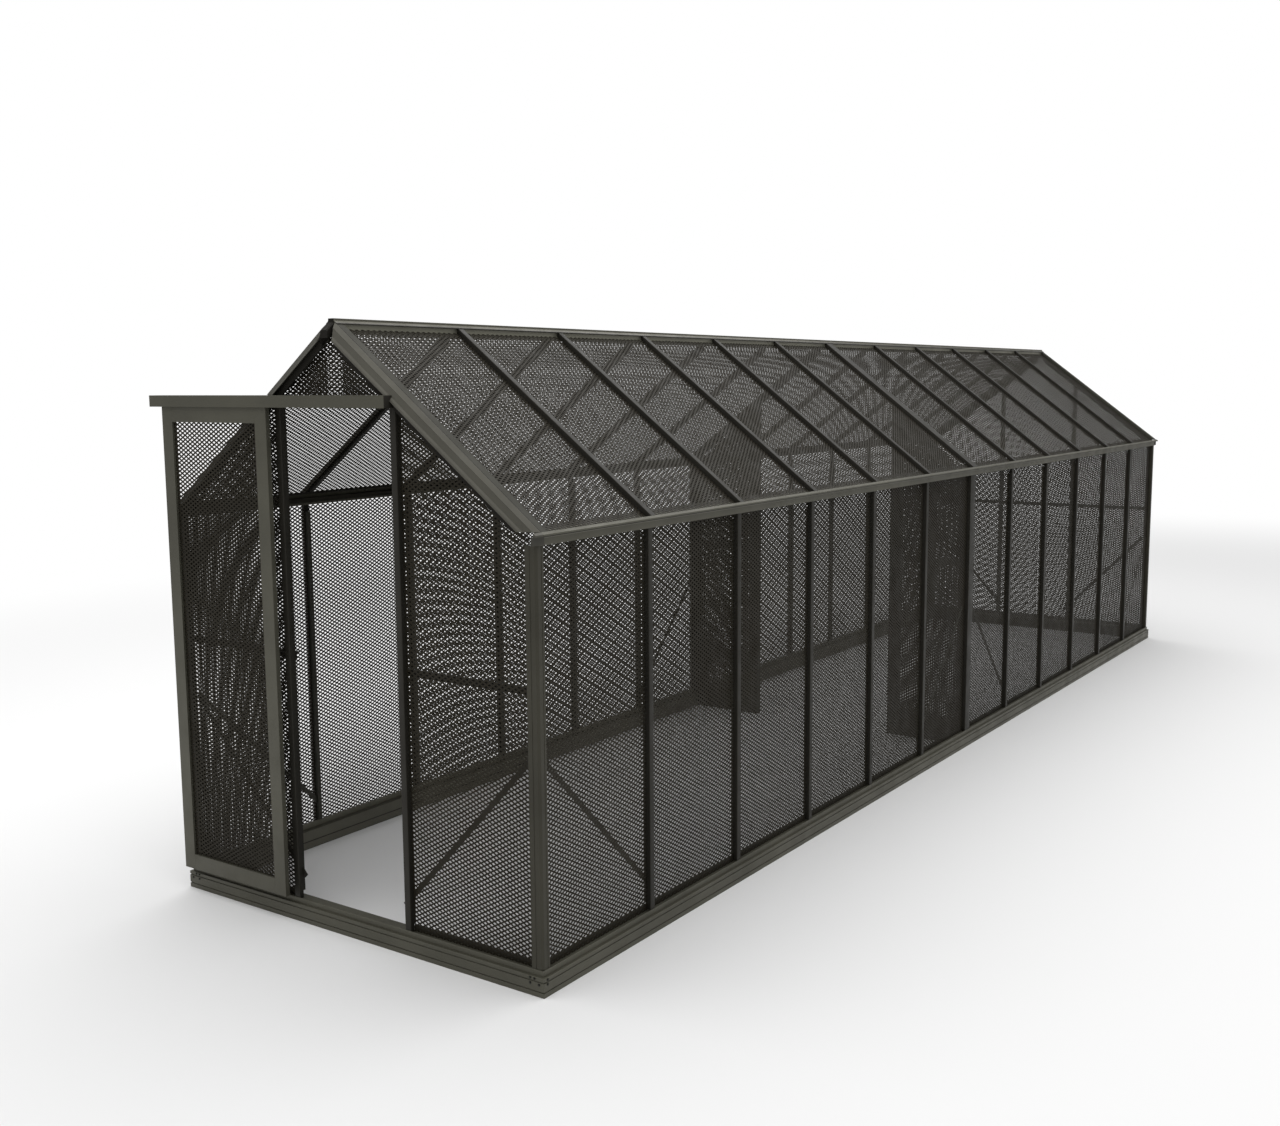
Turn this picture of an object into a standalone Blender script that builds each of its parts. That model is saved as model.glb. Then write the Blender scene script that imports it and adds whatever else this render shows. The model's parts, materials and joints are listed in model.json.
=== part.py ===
"""Shade house: a walk-in aluminium frame covered in diamond mesh, two modules long, with one sliding door.

Units are metres and +Z is up. The house is drawn in its own frame: X runs along the front, Y from the
front to the back, and the middle of the front edge lies at X = 0, Y = 0. One parent then moves all of it,
so that the origin is at the bottom centre of the whole object.
"""

import math
from dataclasses import dataclass

import bmesh
import bpy
from mathutils import Vector

# Driving sizes of the house
LENGTH = 7.512
WIDTH = 1.82
EAVE_OVERHANG = 0.010
EAVE_HEIGHT = 1.530
RIDGE_HEIGHT = 2.228
BAYS_PER_MODULE = 6
END_OFFSET = 0.036

# Clearances between pieces that touch
SEAT_GAP = 0.0003
SLOT_PLAY = 0.0006

# Base rail section
BASE_HEIGHT = 0.081
BASE_DEPTH = 0.050
BASE_WALL = 0.0025
BASE_STEP = 0.010
BASE_STEP_HEIGHT = 0.067
BASE_RETURN = 0.010
EDGE_BREAK = 0.001
BASE_LIP_HEIGHT = 0.006
BASE_LIP_WIDTH = 0.003
GROOVE_WIDTH = 0.005
GROOVE_DEPTH = 0.003
LOWER_GROOVE_HEIGHT = 0.0185
UPPER_GROOVE_HEIGHT = 0.0525
UPSTAND_HEIGHT = 0.026

# Glazing bars, a T section whose head stands outside the mesh
BAR_WIDTH = 0.026
BAR_HEAD = 0.017
BAR_DEPTH = 0.030
STEM_WIDTH = 0.020
BAR_SETBACK = 0.004
FUSE_DEPTH = 0.0012
MID_BAR_WIDTH = 0.066
MID_SEAM_WIDTH = 0.003
MID_SEAM_DEPTH = 0.002

# Mesh sheets, drawn as coarse nets with one column of openings in each bay
SHEET = 0.0015
HEM = 0.028
SHEET_TUCK = 0.002
SHEET_BORDER = 0.012
SHEET_STRAND = 0.012
WALL_ROWS = 4
ROOF_ROWS = 3
MIDDLE_ROWS = 5

# Corner posts
POST_WALL = 0.0035
POST_FRONT_FLANGE = 0.047
POST_SIDE_FLANGE = 0.037
POST_CHAMFER = 0.008
POST_GROOVE_AT = 0.026

# Eave beam
EAVE_BAND = 0.030
EAVE_LIP_REACH = 0.015
EAVE_LIP_HEIGHT = 0.0065
EAVE_LIP_WIDTH = 0.012
EAVE_NICK = 0.001
EAVE_WALL = 0.0025
EAVE_SEAT = 0.048
EAVE_RETURN = 0.010
EAVE_FLOOR = 0.036

# Ridge beam
RIDGE_CHANNEL = 0.034
RIDGE_LEG = 0.052
RIDGE_WALL = 0.0025
RIDGE_WING = 0.026
RIDGE_CAP = 0.024
RIDGE_CAP_RISE = 0.007
RIDGE_FOOT = 0.007

# Gable rafters
RAFTER_FACE = 0.050
RAFTER_TOP = 0.034
RAFTER_WALL = 0.0025
RAFTER_SETBACK = 0.0115
RAFTER_BEAD = 0.003

# Doorway posts, gable bars, rails and braces
RAIL_HEIGHT = 0.999
RAIL_WIDTH = 0.024
RAIL_LEG = 0.016
RAIL_WALL = 0.0025
BRACE_WIDTH = 0.020
BRACE_THICK = 0.003
BRACE_TOP = 0.785
BRACE_FOOT = 0.185
BRACE_INSET = 0.058
BRACE_TIP = 0.030

# Partition half way along
PARTITION_OPENING = 0.85
PARTITION_STILE = 0.060
PARTITION_THICK = 0.040
PARTITION_EDGE = 0.030
PARTITION_RAIL_INSET = 0.002

# Sliding door
DOOR_WIDTH = 0.592
DOOR_BOTTOM = 0.0975
DOOR_LAP = 0.0035
DOOR_THICK = 0.020
DOOR_STILE = 0.060
DOOR_HEAD_RAIL = 0.061
DOOR_FOOT_RAIL = 0.061
DOOR_SIDE_LAP = 0.009
DOOR_OPEN_PAST = 0.004
DOOR_FRONT = -0.031
MESH_SLOT_DEPTH = 0.010
MESH_SLOT_WIDTH = 0.0025
NET_ACROSS = 4
NET_UP = 27
NET_STRAND = 0.0055
NET_BORDER = 0.012
NET_THICK = 0.0019

# Door track, rollers, hangers and guides
TRACK_OVERHANG = 0.058
TRACK_PAST_DOOR = 0.008
TRACK_BELOW_ROOF = 0.0446
TRACK_HOOD = 0.043
TRACK_WALL = 0.0025
TRACK_FRONT = -0.042
TRACK_LEDGE_DROP = 0.031
TRACK_LEDGE_EDGE = -0.008
STOP_LENGTH = 0.010
STOP_HEIGHT = 0.022
ROLLER_RADIUS = 0.012
ROLLER_WIDTH = 0.008
ROLLER_BORE = 0.0034
ROLLER_Y = -0.0005
ROLLER_INSET = 0.090
ROLLER_RIM = 0.0015
AXLE_RADIUS = 0.003
AXLE_HEAD = 0.005
AXLE_END = 0.002
HANGER_WIDTH = 0.030
HANGER_WALL = 0.0025
HANGER_BACK = -0.014
HANGER_CLEAR = 0.0065
GUIDE_WIDTH = 0.030
GUIDE_WALL = 0.003
GUIDE_DROP = 0.022
GUIDE_CLEAR = 0.0012
GUIDE_INSET = 0.075
FOOT_SETBACK = 0.003

# Places worked out from the sizes above
MIDDLE = LENGTH / 2
BAY = (MIDDLE - END_OFFSET) / BAYS_PER_MODULE
FACE_X = WIDTH / 2 - BASE_STEP
EDGE_X = WIDTH / 2 + EAVE_OVERHANG
PITCH = math.atan2(RIDGE_HEIGHT - EAVE_HEIGHT, EDGE_X)
HEAD_BACK = BAR_SETBACK + BAR_HEAD
SHEET_OUT = HEAD_BACK + SEAT_GAP
SHEET_IN = SHEET_OUT + SHEET
STEM_BACK = BAR_SETBACK + BAR_DEPTH
BEHIND_SHEET = SHEET_IN + SEAT_GAP
LEDGE = BASE_HEIGHT + SEAT_GAP
LIP_TOP = BASE_HEIGHT + BASE_LIP_HEIGHT
UPSTAND_TOP = BASE_HEIGHT + UPSTAND_HEIGHT
EAVE_BOTTOM = EAVE_HEIGHT - EAVE_LIP_HEIGHT - EAVE_BAND
WALL_TOP = EAVE_BOTTOM - SEAT_GAP
ROOF_SHEET_OUT = -BAR_HEAD - SEAT_GAP
ROOF_SHEET_IN = ROOF_SHEET_OUT - SHEET
ROOF_STEM_IN = -BAR_DEPTH
SEAT_FACE = ROOF_SHEET_IN - SEAT_GAP
RAFTER_LOW = -RAFTER_FACE - SEAT_GAP
GABLE_TOP = ROOF_SHEET_IN - SHEET_TUCK
RIDGE_SIDE = RIDGE_CHANNEL / 2
BAR_END_X = RIDGE_SIDE + SEAT_GAP
RAFTER_Y = BASE_STEP + RAFTER_SETBACK
POST_SETBACK = BASE_LIP_WIDTH + SEAT_GAP
POST_INNER = POST_SETBACK + POST_FRONT_FLANGE + SHEET_BORDER
POST_BACK = POST_SETBACK + POST_SIDE_FLANGE + SHEET_BORDER
STEM_FOOT = UPSTAND_TOP + SLOT_PLAY
STEM_TOP = WALL_TOP - HEM
STEM_HALF = STEM_WIDTH / 2 + SLOT_PLAY
OPENING_LOW = UPSTAND_TOP + SHEET_BORDER
OPENING_BELOW_ROOF = RAFTER_LOW - SHEET_BORDER
GABLE_BAR_AT = DOOR_WIDTH / 2 - DOOR_SIDE_LAP
DOOR_TRAVEL = DOOR_WIDTH + DOOR_OPEN_PAST
DOOR_OPEN_AT = -DOOR_TRAVEL
TRACK_LEFT = DOOR_OPEN_AT - DOOR_WIDTH / 2 - TRACK_OVERHANG
TRACK_RIGHT = DOOR_WIDTH / 2 + TRACK_PAST_DOOR
TRACK_TOP = EAVE_HEIGHT + (EDGE_X - GABLE_BAR_AT) * math.tan(PITCH) - TRACK_BELOW_ROOF
DOOR_TOP = TRACK_TOP - TRACK_HOOD + DOOR_LAP
HANGER_TOP = TRACK_TOP - TRACK_WALL - HANGER_CLEAR
TRACK_BACK = BASE_STEP + BAR_SETBACK - SEAT_GAP
TRACK_LEDGE = TRACK_TOP - TRACK_LEDGE_DROP
ROLLER_Z = TRACK_LEDGE + SEAT_GAP + ROLLER_RADIUS
MIRROR_GAP = SEAT_GAP / 2

FRAME_COLOUR = (0.083, 0.083, 0.066)
DARK_COLOUR = (0.030, 0.030, 0.026)
MESH_COLOUR = (0.020, 0.020, 0.018)
NYLON_COLOUR = (0.012, 0.012, 0.012)


@dataclass(frozen=True)
class Axes:
    """A corner and three directions: outlines are drawn on a and b, and run along t."""

    corner: Vector
    a: Vector
    b: Vector
    t: Vector

    def at(self, a, b, t):
        return self.corner + self.a * a + self.b * b + self.t * t


@dataclass(frozen=True)
class Cut:
    """A flat end across a run, given by a point on it and its normal."""

    point: Vector
    normal: Vector

    def along(self, axes, a, b):
        start = axes.corner + axes.a * a + axes.b * b
        return (self.point - start).dot(self.normal) / axes.t.dot(self.normal)


X_AXIS, Y_AXIS, Z_AXIS = Vector((1, 0, 0)), Vector((0, 1, 0)), Vector((0, 0, 1))


def side_wall(side):
    """Inward, up, and back along one long wall. side is +1 on the right and -1 on the left."""
    return Axes(Vector((side * FACE_X, 0, 0)), -side * X_AXIS, Z_AXIS, Y_AXIS)


def end_wall(back):
    """Inward, up, and to the right along the front or the back wall."""
    y = LENGTH - BASE_STEP if back else BASE_STEP
    return Axes(Vector((0, y, 0)), -Y_AXIS if back else Y_AXIS, Z_AXIS, X_AXIS)


def slope_up(side):
    """The directions along a slope and out of it."""
    up = Vector((-side * math.cos(PITCH), 0, math.sin(PITCH)))
    out = Vector((side * math.sin(PITCH), 0, math.cos(PITCH)))
    return up, out


def roof_run(side):
    """Out of the slope, back along the house, and up the slope from the eave's outer edge."""
    up, out = slope_up(side)
    return Axes(Vector((side * EDGE_X, 0, EAVE_HEIGHT)), out, Y_AXIS, up)


def roof_cut(side, out_by):
    """The plane parallel to a slope, at a distance out of its surface."""
    up, out = slope_up(side)
    return Cut(Vector((side * EDGE_X, 0, EAVE_HEIGHT)) + out * out_by, out)


def roof_height(x, out_by):
    """Height of that plane over a place on the front."""
    return EAVE_HEIGHT + (EDGE_X - abs(x)) * math.tan(PITCH) + out_by / math.cos(PITCH)


def prism(axes, outline, start, end):
    """A solid with one outline, run between two ends that are distances or cuts."""
    def ring(limit):
        if isinstance(limit, Cut):
            return [axes.at(a, b, limit.along(axes, a, b)) for a, b in outline]
        return [axes.at(a, b, limit) for a, b in outline]

    count = len(outline)
    points = ring(start) + ring(end)
    faces = [tuple(range(count)), tuple(range(count, 2 * count))]
    for i in range(count):
        j = (i + 1) % count
        faces.append((i, j, count + j, count + i))
    return points, faces


def block(axes, a, b, t):
    """A box between pairs of limits."""
    return prism(axes, [(a[0], b[0]), (a[1], b[0]), (a[1], b[1]), (a[0], b[1])], t[0], t[1])


def grid(place, columns, rows, holes, near, far):
    """A flat frame with openings, drawn on lines across it. rows(column) gives each line's heights."""
    heights = [rows(column) for column in columns]
    last_row = len(heights[0])
    points = [place(column, height, depth) for depth in (near, far)
              for column, column_rows in zip(columns, heights) for height in column_rows]
    layer = len(columns) * last_row
    cells = {(i, j) for i in range(len(columns) - 1) for j in range(last_row - 1)} - set(holes)
    faces = []
    edges = {}
    for i, j in sorted(cells):
        loop = [i * last_row + j, (i + 1) * last_row + j, (i + 1) * last_row + j + 1, i * last_row + j + 1]
        faces.append(tuple(loop))
        faces.append(tuple(corner + layer for corner in reversed(loop)))
        for start, end in zip(loop, loop[1:] + loop[:1]):
            edges[(start, end)] = edges.get((start, end), 0) + 1
    for start, end in edges:
        if (end, start) not in edges:
            faces.append((end, start, start + layer, end + layer))
    return points, faces


def pierced(axes, outline, gaps, near, far):
    """A flat sheet drawn on a and b, with an opening for each loop of corners in gaps."""
    flat = bmesh.new()
    edges = []
    for loop in [outline, *gaps]:
        corners = [flat.verts.new((a, b, 0)) for a, b in loop]
        edges += [flat.edges.new((corners[i - 1], corners[i])) for i in range(len(corners))]
    bmesh.ops.triangle_fill(flat, use_beauty=True, use_dissolve=False, edges=edges)
    flat.verts.index_update()
    layer = len(flat.verts)
    points = [axes.at(vert.co.x, vert.co.y, depth) for depth in (near, far) for vert in flat.verts]
    faces = []
    for face in flat.faces:
        loop = [vert.index for vert in face.verts]
        faces += [tuple(loop), tuple(corner + layer for corner in reversed(loop))]
    for edge in flat.edges:
        if edge.is_boundary:
            start, end = (vert.index for vert in edge.verts)
            faces.append((start, end, end + layer, start + layer))
    flat.free()
    return points, faces


def diamonds(left, right, low, high, across, up, strand):
    """The openings of a diamond net between four limits."""
    pitch_x, pitch_z = (right - left) / across, (high - low) / up
    slant = math.hypot(pitch_x, pitch_z)
    reach_x = pitch_x / 2 - strand / 2 * slant / pitch_z
    reach_z = pitch_z / 2 - strand / 2 * slant / pitch_x
    gaps = []
    for first in (1, 2):
        for column in range(first, 2 * across, 2):
            for row in range(first, 2 * up, 2):
                x, z = left + column * pitch_x / 2, low + row * pitch_z / 2
                gaps.append([(x - reach_x, z), (x, z - reach_z), (x + reach_x, z), (x, z + reach_z)])
    return gaps


def openings(left, right, low, tops, rows):
    """Openings one above another, a strand apart. tops is the last one's height on the left and right."""
    step = (min(tops) - low + SHEET_STRAND) / rows
    gaps = []
    for row in range(rows):
        foot = low + step * row
        head = tops if row == rows - 1 else (foot + step - SHEET_STRAND,) * 2
        gaps.append([(left, foot), (right, foot), (right, head[1]), (left, head[0])])
    return gaps


def turned(axes, profile, segments):
    """A solid of revolution about t: profile is a closed loop of radius and distance along t."""
    points = []
    for step in range(segments):
        angle = 2 * math.pi * step / segments
        for radius, along in profile:
            points.append(axes.at(radius * math.cos(angle), radius * math.sin(angle), along))
    count = len(profile)
    faces = []
    for step in range(segments):
        following = (step + 1) % segments
        for i in range(count):
            j = (i + 1) % count
            if profile[i][0] == 0 and profile[j][0] == 0:
                continue
            faces.append((step * count + i, step * count + j, following * count + j, following * count + i))
    return points, faces


def mesh_from(name, solids):
    """One mesh from several solids, with its faces turned outwards and no stray points."""
    shape = bmesh.new()
    for points, faces in solids:
        corners = [shape.verts.new(point) for point in points]
        for face in faces:
            shape.faces.new([corners[i] for i in face])
    bmesh.ops.remove_doubles(shape, verts=shape.verts, dist=1e-6)
    loose = [vert for vert in shape.verts if not vert.link_faces]
    bmesh.ops.delete(shape, geom=loose, context="VERTS")
    bmesh.ops.recalc_face_normals(shape, faces=shape.faces)
    mesh = bpy.data.meshes.new(name)
    shape.to_mesh(mesh)
    shape.free()
    return mesh


def painted(name, colour, roughness, metallic):
    """A plain material for one piece."""
    material = bpy.data.materials.new(name)
    material.use_nodes = True
    shader = material.node_tree.nodes["Principled BSDF"]
    shader.inputs["Base Color"].default_value = (*colour, 1.0)
    shader.inputs["Roughness"].default_value = roughness
    shader.inputs["Metallic"].default_value = metallic
    return material


FINISHES = {
    "frame": (FRAME_COLOUR, 0.45, 0.3),
    "dark": (DARK_COLOUR, 0.55, 0.2),
    "mesh": (MESH_COLOUR, 0.6, 0.0),
    "nylon": (NYLON_COLOUR, 0.4, 0.0),
}


def piece(name, solids, finish, parent, location=(0, 0, 0)):
    """A named sub-part under its parent."""
    item = bpy.data.objects.new(name, mesh_from(name, solids))
    item.data.materials.append(painted(name, *FINISHES[finish]))
    item.parent = parent
    item.location = location
    bpy.context.scene.collection.objects.link(item)
    return item


def fuse(item, label, solids):
    """Joins solids onto a piece with a Boolean, so that it stays one body."""
    tool = bpy.data.objects.new(f"{item.name}_{label}", mesh_from(label, solids))
    tool.parent = item
    tool.hide_render = True
    tool.display_type = "WIRE"
    bpy.context.scene.collection.objects.link(tool)
    joint = item.modifiers.new(label, "BOOLEAN")
    joint.operation = "UNION"
    joint.solver = "EXACT"
    joint.object = tool


def holder(name, parent, location):
    """An empty that carries pieces."""
    empty = bpy.data.objects.new(name, None)
    empty.parent = parent
    empty.location = location
    bpy.context.scene.collection.objects.link(empty)
    return empty


def base_outline(upstand):
    """Base rail: grooved face, step, sill with a lip, ledge for the bars and an open back."""
    low, high, half = LOWER_GROOVE_HEIGHT, UPPER_GROOVE_HEIGHT, GROOVE_WIDTH / 2
    face, step, edge = -BASE_STEP, BASE_STEP_HEIGHT, EDGE_BREAK
    groove = face + GROOVE_DEPTH
    outline = [
        (face, 0), (face, low - half), (groove, low - half + edge), (groove, low + half - edge),
        (face, low + half), (face, high - half), (groove, high - half + edge),
        (groove, high + half - edge), (face, high + half), (face, step - edge), (face + edge, step), (0, step),
        (0, LIP_TOP - edge), (edge, LIP_TOP), (BASE_LIP_WIDTH, LIP_TOP), (BASE_LIP_WIDTH, BASE_HEIGHT),
    ]
    if upstand:
        outline += [(BEHIND_SHEET, BASE_HEIGHT), (BEHIND_SHEET, UPSTAND_TOP),
                    (BEHIND_SHEET + BASE_WALL, UPSTAND_TOP), (BEHIND_SHEET + BASE_WALL, BASE_HEIGHT)]
    inner = groove + BASE_WALL
    outline += [
        (BASE_DEPTH, BASE_HEIGHT), (BASE_DEPTH, BASE_HEIGHT - BASE_RETURN),
        (BASE_DEPTH - BASE_WALL, BASE_HEIGHT - BASE_RETURN), (BASE_DEPTH - BASE_WALL, BASE_HEIGHT - BASE_WALL),
        (BASE_WALL, BASE_HEIGHT - BASE_WALL), (BASE_WALL, step - BASE_WALL), (inner, step - BASE_WALL),
        (inner, BASE_WALL),
        (BASE_DEPTH - BASE_WALL, BASE_WALL), (BASE_DEPTH - BASE_WALL, BASE_RETURN),
        (BASE_DEPTH, BASE_RETURN), (BASE_DEPTH, 0),
    ]
    return outline


def mitre(side, back, along):
    """The 45 degree cut where two base rails meet, moved back along the rail by half a gap."""
    corner = Vector((side * WIDTH / 2, LENGTH if back else 0, 0))
    return Cut(corner + along * MIRROR_GAP, Vector((side, -1 if back else 1, 0)).normalized())


def bar_lines(module):
    """Where one module's bars stand along the house."""
    first = module * BAYS_PER_MODULE + 1
    return [END_OFFSET + number * BAY for number in range(first, first + BAYS_PER_MODULE - 1)]


def brace_strip(axes, foot, top, depth):
    """A flat diagonal on a wall: foot and top are (t, height) of its middle line."""
    run = Vector((top[0] - foot[0], top[1] - foot[1])).normalized()
    across = Vector((-run.y, run.x)) * BRACE_WIDTH / 2
    corners = [(foot[0] - across.x, foot[1] - across.y), (foot[0] + across.x, foot[1] + across.y),
               (top[0] + across.x, top[1] + across.y), (top[0] - across.x, top[1] - across.y)]
    flat = Axes(axes.corner, axes.t, axes.b, axes.a)
    return prism(flat, corners, depth, depth + BRACE_THICK)


def side_base(house, side, label, module):
    """One module's side rail with its five wall bars and two braces."""
    axes = side_wall(side)
    rear = module == 1
    start = Cut(Vector((0, MIDDLE + MIRROR_GAP, 0)), Y_AXIS) if rear else mitre(side, False, Y_AXIS)
    end = mitre(side, True, -Y_AXIS) if rear else Cut(Vector((0, MIDDLE - MIRROR_GAP, 0)), Y_AXIS)
    rail = piece(f"side_rail_{label}", [prism(axes, base_outline(True), start, end)], "frame", house)
    lines = bar_lines(module)
    heads = [block(axes, (BAR_SETBACK, HEAD_BACK), (BASE_HEIGHT - FUSE_DEPTH, WALL_TOP),
                   (line - BAR_WIDTH / 2, line + BAR_WIDTH / 2)) for line in lines]
    stems = [block(axes, (HEAD_BACK - FUSE_DEPTH, STEM_BACK), (STEM_FOOT, STEM_TOP),
                   (line - STEM_WIDTH / 2, line + STEM_WIDTH / 2)) for line in lines]
    corner_top = LENGTH - BRACE_INSET if rear else BRACE_INSET
    near_middle = MIDDLE + (1 if rear else -1) * BRACE_INSET
    corner_foot, middle_foot = (lines[-1], lines[0]) if rear else (lines[0], lines[-1])
    braces = [brace_strip(axes, (corner_foot, BRACE_FOOT), (corner_top, BRACE_TOP), BEHIND_SHEET),
              brace_strip(axes, (middle_foot, BRACE_FOOT), (near_middle, BRACE_TOP), BEHIND_SHEET)]
    fuse(rail, "heads", heads)
    fuse(rail, "stems", stems)
    fuse(rail, "braces", braces)


def end_base(house, back):
    """The rail under the front or the back wall. The front one has no upstand across the doorway."""
    axes = end_wall(back)
    name = "base_rail_back" if back else "base_rail_front"
    start = mitre(-1, back, X_AXIS)
    end = mitre(1, back, -X_AXIS)
    rail = piece(name, [prism(axes, base_outline(back), start, end)], "frame", house)
    if back:
        return
    inner = GABLE_BAR_AT + BAR_WIDTH / 2
    outer = FACE_X - BEHIND_SHEET - BASE_WALL - SEAT_GAP
    strips = [block(axes, (BEHIND_SHEET, BEHIND_SHEET + BASE_WALL), (BASE_HEIGHT - FUSE_DEPTH, UPSTAND_TOP),
                    sorted((side * inner, side * outer))) for side in (-1, 1)]
    fuse(rail, "upstands", strips)


def post_outline():
    """Corner post: two flanges with a chamfer between them, a groove in each and a return to the mesh."""
    reach = HEAD_BACK - POST_SETBACK
    front, side, wall = POST_FRONT_FLANGE, POST_SIDE_FLANGE, POST_WALL
    groove, half = POST_GROOVE_AT, GROOVE_WIDTH / 2
    inner = POST_CHAMFER + wall * (math.sqrt(2) - 1)
    return [
        (POST_CHAMFER, 0), (groove - half, 0), (groove - half + 0.0005, 0.0012),
        (groove + half - 0.0005, 0.0012), (groove + half, 0), (front, 0), (front, reach),
        (front - wall, reach), (front - wall, wall), (inner, wall), (wall, inner), (wall, side - wall),
        (reach, side - wall), (reach, side), (0, side), (0, groove + half),
        (0.0012, groove + half - 0.0005), (0.0012, groove - half + 0.0005), (0, groove - half),
        (0, POST_CHAMFER),
    ]


def corner_post(house, side, back):
    """An upright that stands on the base rails' ledges, behind their lips."""
    inset = BASE_STEP + POST_SETBACK
    y = LENGTH - inset if back else inset
    corner = Vector((side * (FACE_X - POST_SETBACK), y, 0))
    axes = Axes(corner, -side * X_AXIS, -Y_AXIS if back else Y_AXIS, Z_AXIS)
    name = f"corner_post_{'back' if back else 'front'}_{'right' if side > 0 else 'left'}"
    piece(name, [prism(axes, post_outline(), LEDGE, WALL_TOP)], "frame", house)


def mid_bar_parts(axes, head_start, end, stem_start, stem_end, inner):
    """The double bar where the modules meet: one wide head with a seam, and two stems."""
    half, seam = MID_BAR_WIDTH / 2, MID_SEAM_WIDTH / 2
    near, far = inner
    step = math.copysign(MID_SEAM_DEPTH, far - near)
    head = [(near, MIDDLE - half), (near, MIDDLE - seam), (near + step, MIDDLE - seam),
            (near + step, MIDDLE + seam), (near, MIDDLE + seam), (near, MIDDLE + half),
            (far, MIDDLE + half), (far, MIDDLE - half)]
    sink = math.copysign(FUSE_DEPTH, far - near)
    depth = far + math.copysign(BAR_DEPTH - BAR_HEAD, far - near)
    stems = []
    for line in mid_stem_lines():
        low, high = line - STEM_WIDTH / 2, line + STEM_WIDTH / 2
        outline = [(far - sink, low), (far - sink, high), (depth, high), (depth, low)]
        stems.append(prism(axes, outline, stem_start, stem_end))
    return prism(axes, head, head_start, end), stems


def mid_stem_lines():
    offset = (MID_BAR_WIDTH - BAR_WIDTH) / 2
    return [MIDDLE - offset, MIDDLE + offset]


def mid_post(house, side):
    """The double post on one side, where the modules are bolted together."""
    axes = Axes(Vector((side * FACE_X, 0, 0)), -side * X_AXIS, Y_AXIS, Z_AXIS)
    head, stems = mid_bar_parts(axes, LEDGE, WALL_TOP, STEM_FOOT, STEM_TOP, (BAR_SETBACK, HEAD_BACK))
    post = piece(f"mid_post_{'right' if side > 0 else 'left'}", [head], "dark", house)
    fuse(post, "stems", stems)


def eave_outline():
    """Eave beam in its wall's inward and upward directions: band, lip, seat for the roof mesh, open back."""
    def from_slope(up, out):
        x = EDGE_X - up * math.cos(PITCH) + out * math.sin(PITCH)
        return FACE_X - x, EAVE_HEIGHT + up * math.sin(PITCH) + out * math.cos(PITCH)

    lip, nick = FACE_X - EDGE_X, EAVE_NICK
    band = lip + EAVE_LIP_REACH
    lip_bottom = EAVE_HEIGHT - EAVE_LIP_HEIGHT
    inside = band + EAVE_WALL
    floor = band + EAVE_FLOOR
    under = SEAT_FACE - EAVE_WALL
    at_web = (inside - lip + under * math.sin(PITCH)) / math.cos(PITCH)
    return [
        (band, EAVE_BOTTOM), (band, lip_bottom - 2 * nick), (band + nick, lip_bottom - nick),
        (lip, lip_bottom + nick), (lip, EAVE_HEIGHT), from_slope(EAVE_LIP_WIDTH, 0),
        from_slope(EAVE_LIP_WIDTH, SEAT_FACE), from_slope(EAVE_LIP_WIDTH + EAVE_SEAT, SEAT_FACE),
        from_slope(EAVE_LIP_WIDTH + EAVE_SEAT, under), from_slope(at_web, under),
        (inside, EAVE_BOTTOM + EAVE_WALL), (floor - EAVE_WALL, EAVE_BOTTOM + EAVE_WALL),
        (floor - EAVE_WALL, EAVE_BOTTOM + EAVE_RETURN), (floor, EAVE_BOTTOM + EAVE_RETURN),
        (floor, EAVE_BOTTOM),
    ]


def ridge_cut(side, back_by):
    """The upright plane beside the ridge at which a roof piece ends."""
    return Cut(Vector((side * (BAR_END_X + back_by), 0, 0)), X_AXIS)


def eave_beam(house, side, label, module):
    """One module's eave beam with its five roof bars."""
    axes = side_wall(side)
    run = roof_run(side)
    rear = module == 1
    start = MIDDLE + MIRROR_GAP if rear else RAFTER_Y + RAFTER_WALL + SEAT_GAP
    end = LENGTH - RAFTER_Y - RAFTER_WALL - SEAT_GAP if rear else MIDDLE - MIRROR_GAP
    beam = piece(f"eave_beam_{label}", [prism(axes, eave_outline(), start, end)], "frame", house)
    lines = bar_lines(module)
    heads, stems = [], []
    for line in lines:
        low, high = line - BAR_WIDTH / 2, line + BAR_WIDTH / 2
        head = [(0.0 - SEAT_GAP, low), (0.0 - SEAT_GAP, high), (-BAR_HEAD, high), (-BAR_HEAD, low)]
        heads.append(prism(run, head, EAVE_LIP_WIDTH - FUSE_DEPTH, ridge_cut(side, 0)))
        low, high = line - STEM_WIDTH / 2, line + STEM_WIDTH / 2
        stem = [(-BAR_HEAD + FUSE_DEPTH, low), (-BAR_HEAD + FUSE_DEPTH, high), (ROOF_STEM_IN, high),
                (ROOF_STEM_IN, low)]
        stems.append(prism(run, stem, roof_stem_start(), ridge_cut(side, HEM)))
    fuse(beam, "heads", heads)
    fuse(beam, "stems", stems)


def roof_stem_start():
    return EAVE_LIP_WIDTH + EAVE_SEAT + SLOT_PLAY + HEM / 2


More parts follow.
